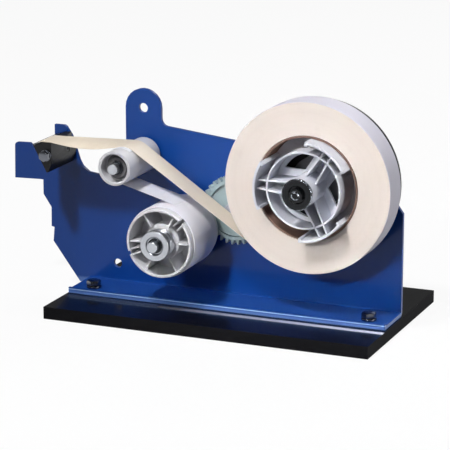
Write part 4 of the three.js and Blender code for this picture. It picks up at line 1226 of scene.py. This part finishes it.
spring = grown("clutch_coil", coil_tree(), Turns=coil_turns, Radius=coil_radius, Wire=coil_wire,
               Length=spring_length, Material=steel)
spring_place = drum_axis @ Matrix.Translation((0, spring_back, 0))
spring.data.transform(spring_place @ Matrix.Rotation(whole / 4, 4, "X"))
spring.data.shade_smooth()
settle(crisp(spring, wire_edge), "clutch_spring", steel)
cupped("steel_collar", "clutch_collar", drum_axis, steel, bore=4.5 * mm, cup=6.9 * mm, depth=2.2 * mm)
plain_ring("felt_washer", "clutch_washer", drum_bore, drum_axis, felt, sides=64)
print("spring of", coil_turns, "turns,", round(spring_length / mm, 1), "mm long")

# %% [markdown]
# The idler is a moulded roller, open at both ends with a boss in its middle. It is all one profile.

# %% Idler roller
idler_axis = axis_of("idler_roller")
idler_front, idler_back = span_of("idler_roller")
idler_radius = radius_of("idler_roller")
idler_inner = idler_radius - 2.4 * mm
idler_bore = 4.3 * mm
idler_boss = 7.9 * mm
idler_boss_front = idler_front + 5 * mm
idler_recess = 9 * mm
idler_profile = [
    (idler_bore, idler_boss_front), (idler_boss, idler_boss_front), (idler_boss, idler_front + idler_recess),
    (idler_inner, idler_front + idler_recess), (idler_inner, idler_front), (idler_radius, idler_front),
    (idler_radius, idler_back), (idler_inner, idler_back), (idler_inner, idler_back - idler_recess),
    (idler_boss, idler_back - idler_recess), (idler_boss, idler_back), (idler_bore, idler_back),
]
roller = turned("tape_roller", idler_profile, idler_axis, sides=128, reach=0.5 * mm)
settle(roller, "idler_roller", bored_plastic)
print("roller of radius", round(idler_radius / mm, 1), "mm")

# %% [markdown]
# Tape and liner leave the roll as one web. They part at the idler: the tape runs on to the block and the
# liner turns back down to the drum. Straight runs touch both circles, so the touching points are worked out.
# Loose tape isn't flat: its front edge sags between the block and the idler, and it narrows towards the roll.
# So the tape is drawn flat, cut across in a few places, and its points are moved by a rule.

# %% Outlines of a web
tape_depth = 0.35 * mm
liner_depth = 0.3 * mm
web_easing = 0.05 * mm
air = 0.08 * mm
liner_face = idler_radius + air
tape_face = liner_face + liner_depth + air


def middle_of(place):
    return Vector((place.translation.x, place.translation.z))


def crossing(first, first_radius, second, second_radius, side):
    """The straight run between two circles that crosses their line of centres, and its angle."""
    run = second - first
    angle = math.atan2(run.y, run.x) + side * math.acos((first_radius + second_radius) / run.length)
    return angle, first + polar(first_radius, angle), second - polar(second_radius, angle)


def web_outline(path, depth):
    """A path and a second one beside it, to the right of its run, as one closed outline."""
    beside = []
    for i, point in enumerate(path):
        along = (path[min(i + 1, len(path) - 1)] - path[max(i - 1, 0)]).normalized()
        beside.append(point + Vector((along.y, -along.x)) * depth)
    return path + beside[::-1]


idler_middle = middle_of(idler_axis)
roll_middle = middle_of(roll_axis)
drum_middle = middle_of(drum_axis)
print("tape and liner pass the idler at", round(tape_face / mm, 2), "and", round(liner_face / mm, 2), "mm")


# %% Tape in flight
block_low, block_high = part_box("cutter_block")
block_step = 8 * mm
step_x = block_high.x - block_step
slope = math.radians(16)
blade_width = 8.5 * mm
blade_bare = 5.5 * mm
wrap_angle = 0.03
sag = 3.6 * mm
sag_cuts = 8
fold = roll_front + 6 * mm
drawn_in = 5 * mm
tape_reach = roll_radius + air + tape_depth

tape_angle, idler_touch, roll_touch = crossing(idler_middle, tape_face, roll_middle, tape_reach, 1)
landing = Vector((block_high.x, block_high.z + gap))
fall = landing - idler_middle
leave = math.atan2(fall.y, fall.x) - math.acos(tape_face / fall.length)
edge = Vector((step_x, landing.y))
on_roll = math.atan2(*(roll_touch - roll_middle).yx)
tape_path = [*arc((roll_touch - roll_middle).length, on_roll - wrap_angle, on_roll, 3, roll_middle),
             *arc(tape_face, tape_angle, leave, 40, idler_middle), landing, edge,
             edge + polar(blade_width - blade_bare, whole / 2 + slope)]


def share_of(value, start, stop):
    return max(0, min(1, (value - start) / (stop - start)))


def relaxed(piece):
    """The front edge of the tape sags between the block and the idler, and draws in towards the roll."""
    bm = bmesh.new()
    bm.from_mesh(piece.data)
    run = idler_middle.x - landing.x
    cuts = [((landing.x + run * step / sag_cuts, 0, 0), (1, 0, 0)) for step in range(sag_cuts + 1)]
    for point, normal in cuts + [((0, fold, 0), (0, 1, 0))]:
        bmesh.ops.bisect_plane(bm, geom=[*bm.verts, *bm.edges, *bm.faces], plane_co=point, plane_no=normal)
    for vert in bm.verts:
        front = share_of(vert.co.y, fold, roll_front)
        hanging = share_of(vert.co.x, landing.x, idler_middle.x)
        going = share_of(vert.co.x, idler_touch.x, roll_touch.x)
        vert.co.z -= sag * front * math.sin(math.pi * hanging)
        vert.co.y += drawn_in * front * going
    bm.to_mesh(piece.data)
    bm.free()
    return piece


tape_outline = web_outline(tape_path, tape_depth)
tape = relaxed(pressed("tape_in_flight", [tape_outline], roll_front, roll_back, reach=web_easing))
settle(even(tape), "tape_web", tape_film)
print("tape path of", len(tape_path), "points, sagging by", sag / mm, "mm")


# %% Liner in flight
liner_reach = radius_of("wound_liner") + air + liner_depth
liner_angle, _, drum_touch = crossing(idler_middle, liner_face, drum_middle, liner_reach, -1)
liner_path = [*arc(liner_face, tape_angle, liner_angle + whole, 60, idler_middle), drum_touch]
liner_outline = web_outline(liner_path, liner_depth)
liner = pressed("liner_in_flight", [liner_outline], *span_of("liner_web"), reach=web_easing)
settle(even(liner), "liner_web", liner_film)
print("liner path of", len(liner_path), "points")

# %% [markdown]
# The blade lies in a rebate on top of the block, on a slope of its own. Its pieces are made lying flat and
# moved by one matrix, whose first column runs down the slope, second stands off it and third runs along Y.

# %% Blade
blade_front = block_low.y
blade_length = block_high.y - block_low.y - gap
tooth_count = 21
tooth_pitch = blade_length / tooth_count
tooth_reach = 1.4 * mm
blade_depth = 0.8 * mm
rebate = blade_depth + gap
blade_edge = 30
screw_line = 4 * mm
screw_head = 2.4 * mm
screw_places = {"blade_screw_front": blade_front + 7 * mm, "blade_screw_rear": -7 * mm}
down = Vector((-math.cos(slope), 0, -math.sin(slope)))
off = Vector((-math.sin(slope), 0, math.cos(slope)))
slope_turn = Matrix((down, off, Vector((0, 1, 0)))).transposed().to_4x4()
slope_place = Matrix.Translation((step_x, 0, block_high.z - rebate)) @ slope_turn


def row_tree():
    tree = Pattern("copies in a row", Piece="Object", Count="Int", Pitch="Float", Material="Material")
    step = tree.add("ShaderNodeCombineXYZ", {"Z": tree.given["Pitch"]})
    line = tree.add("GeometryNodeMeshLine", {"Count": tree.given["Count"], "Offset": step})
    return tree.close(tree.copies(line))


def make_blade():
    root = blade_width - tooth_reach
    low = blade_front
    high = low + tooth_pitch
    strip = rectangle(gap, root, low, low + blade_length)
    holes = [circle(screw_head + gap, 24, (screw_line, y)) for y in screw_places.values()]
    body = pressed("strip", [strip, *holes], gap, rebate, reach=0.08 * mm)
    point = (blade_width, low + tooth_pitch / 2)
    outline = [(root - gap, low), (root, low), point, (root, high), (root - gap, high)]
    tooth = pressed("tooth", [outline], gap, rebate, reach=0.05 * mm)
    row = grown("teeth", row_tree(), Piece=tooth, Count=tooth_count, Pitch=tooth_pitch, Material=steel)
    bpy.data.objects.remove(tooth)
    blade = one_piece("toothed_blade", [body, row])
    blade.data.transform(slope_place)
    return even(blade, blade_edge)


settle(make_blade(), "cutter_blade", black_oxide)
print("blade with", tooth_count, "teeth")

# %% [markdown]
# Two small domed screws hold the blade, and a bolt and a screw from behind hold the block. A slot is cut in a
# dome by a Boolean, as a saw cuts the real one. The bolt has a hexagonal head with a skirt under it.

# %% Screws of the blade
dome_share = 0.55
dome_drop = 0.12
slot_share = 0.14
slot_overrun = 1.2
slot_depth = 0.4
slot_edge = 40


def rod(name, profile, place, sides=48, reach=easing):
    """A solid turned piece with few sides, for screws and shanks."""
    return turned(name, profile, place, closed=False, sides=sides, reach=reach)


def slotted(name, head, front, back, place):
    """A low domed screw head with a driving slot."""
    tall = back - front
    dome = [(0, front), (head * dome_share, front + tall * dome_drop), (head, front + tall * dome_share),
            (head, back), (0, back)]
    screw = rod(name, dome, place, reach=0.25 * mm)
    mouth = rectangle(-head * slot_overrun, head * slot_overrun, -head * slot_share, head * slot_share)
    slot = pressed("slot", [mouth], front - head * slot_depth, front + tall * slot_depth, place)
    return crisp(cut(screw, [slot]), slot_edge)


for node, y in screw_places.items():
    facing = slope_place @ Matrix.Translation((screw_line, 0, y)) @ Matrix.Rotation(whole / 2, 4, "X")
    settle(slotted(f"{node}_head", screw_head, -rebate, -gap, facing), node, steel)
print(len(screw_places), "screws on the blade")


# %% Screws of the block
bolt_edge = 30
bolt_width = 7.6 * mm
bolt_skirt = 1.1 * mm
rear_shank = 1.5 * mm


def make_block_bolt():
    place = axis_of("block_bolt")
    front, back = span_of("block_bolt")
    outer = radius_of("block_bolt")
    seat_front = block_low.y - gap
    shank = thread_of["block_bolt"]
    middle = seat_front - bolt_skirt / 2
    cone = [(0, seat_front - bolt_skirt), (outer, middle), (outer, seat_front), (0, seat_front)]
    thread = [(0, middle), (shank, middle), *ridges(shank, sheet_back, back - gap), (0, back)]
    parts = [
        hexed("head", bolt_width, front, middle, 0, place, both_ends=False),
        rod("skirt", cone, place, sides=96),
        rod("shank", thread, place),
    ]
    return one_piece("knife_block_bolt", parts)


def make_rear_screw():
    place = axis_of("block_rear_screw")
    front, back = span_of("block_rear_screw")
    head_front = sheet_back + gap
    facing = place @ Matrix.Rotation(whole / 2, 4, "X")
    parts = [
        slotted("head", radius_of("block_rear_screw"), -back, -head_front, facing),
        rod("shank", rectangle(0, rear_shank, front, head_front + gap), place),
    ]
    return one_piece("knife_block_rear_screw", parts)


settle(crisp(make_block_bolt(), bolt_edge), "block_bolt", zinc)
settle(crisp(make_rear_screw(), bolt_edge), "block_rear_screw", steel)
coat("block_side_screw", black_oxide)
print("three screws in the block")

# %% [markdown]
# Two bolts hold the flange down. They stand upright, with a nut in a pocket under the board. They are made
# lying along Y like all turned pieces, and one matrix stands them on end.

# %% Bolts of the flange
base_shank = 3 * mm
base_head = 4 * mm
base_width = 9.78 * mm
base_thread = 6 * mm

for side in ("left", "right"):
    low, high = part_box(f"base_bolt_{side}")
    middle = (low + high) / 2
    place = Matrix.Translation((middle.x, middle.y, 0)) @ Matrix.Rotation(whole / 4, 4, "X")
    seat_low = high.z - base_head
    shank = [(0, low.z), *ridges(base_shank, low.z + gap, low.z + base_thread), (base_shank, seat_low + gap),
             (0, seat_low + gap)]
    parts = [hexed("head", base_width, seat_low, high.z, 0, place), rod("shank", shank, place)]
    settle(crisp(one_piece(f"flange_bolt_{side}", parts), bolt_edge), f"base_bolt_{side}", zinc)
    plain_ring(f"flange_washer_{side}", f"base_washer_{side}", base_shank + gap, place, zinc,
               span_of(f"base_washer_{side}", 2), sides=64)
    nut = hexed(f"flange_nut_{side}", base_width, *span_of(f"base_nut_{side}", 2), base_shank, place)
    settle(nut, f"base_nut_{side}", steel)
print("flange bolts on both sides")

# %% [markdown]
# The stage. Camera and glossy rays see the floor as white, and it keeps the object's shadow. The world is
# white to the camera and faint to the rest, but glossy rays meet a bright horizon in it, so that paint and
# metal show the white room. Light Path sorts the rays, so none of this adds light to the object.

# %% Floor and world
floor_half = 6
floor_glow = 0.92
floor_dark = colour(74, 74, 78)
floor_white = colour(238, 238, 240)
world_glow = 0.07
horizon = 0.06
sky_top = 0.12


def make_floor():
    bm = bmesh.new()
    bmesh.ops.create_grid(bm, x_segments=1, y_segments=1, size=floor_half)
    floor = mesh_object("floor", bm)
    finish = Finish("floor_white")
    seen = finish.ray("Camera") + finish.ray("Glossy")
    base = finish.mix(seen, floor_dark, floor_white)
    floor.data.materials.append(finish.shade(Base_Color=base, Roughness=0.9, Specular_IOR_Level=0))
    values = {0: seen * floor_glow, 1: Wire(finish, finish.shader.outputs[0])}
    values[2] = finish.add("ShaderNodeEmission")
    finish.feed(finish.output, {"Surface": finish.add("ShaderNodeMixShader", values)})
    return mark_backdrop(floor)


def make_world():
    world = bpy.data.worlds.new("studio")
    bpy.context.scene.world = world
    world.use_nodes = True
    nodes = Nodes(world.node_tree)
    height = nodes.split(nodes.add("ShaderNodeTexCoord", output="Generated"))[2]
    mirrored = nodes.spread(height, 0, horizon, 1, sky_top)
    unseen = nodes.spread(nodes.ray("Glossy"), 0, 1, world_glow, mirrored)
    strength = nodes.spread(nodes.ray("Camera"), 0, 1, unseen, 1)
    nodes.feed(world.node_tree.nodes["Background"], {"Color": (1, 1, 1, 1), "Strength": strength})


make_floor()
make_world()
print("floor and world")

# %% [markdown]
# Five lamps. A small key lamp from above throws the shadows, a narrow front lamp lights the roll, and weak
# ones low in front, at the side and at the back open what would be black. Each is given by its place, the
# point it looks at, its width, height and power in watts, and a beam in degrees.

# %% Lamps
middle = (-0.06, 0, 0.1)
lamps = {
    "key": ((-0.17, -1.03, 1.48), middle, 0.14, 0.14, 22, 180),
    "front": ((-0.1, -1.6, 0.8), (0.12, 0, 0.1), 0.36, 0.36, 0.25, 10),
    "low": ((0, -1.5, 0.2), middle, 0.2, 0.2, 0.3, 180),
    "side": ((1.5, -0.12, 0.4), middle, 0.6, 0.4, 8, 180),
    "back": ((0.3, 1.2, 1.2), middle, 1.0, 0.8, 9, 180),
}

for name, (place, aim, width, height, power, beam) in lamps.items():
    data = bpy.data.lights.new(name, "AREA")
    data.shape = "RECTANGLE"
    data.size = width
    data.size_y = height
    data.energy = power
    data.spread = math.radians(beam)
    lamp = in_scene(name, data)
    lamp.location = place
    lamp.rotation_euler = (Vector(aim) - Vector(place)).to_track_quat("-Z", "Y").to_euler()
bpy.context.scene.view_settings.view_transform = "Standard"
print(len(lamps), "lamps")

# %% [markdown]
# Last, the number of pieces that were given looks.


print("pieces:", len(shown))
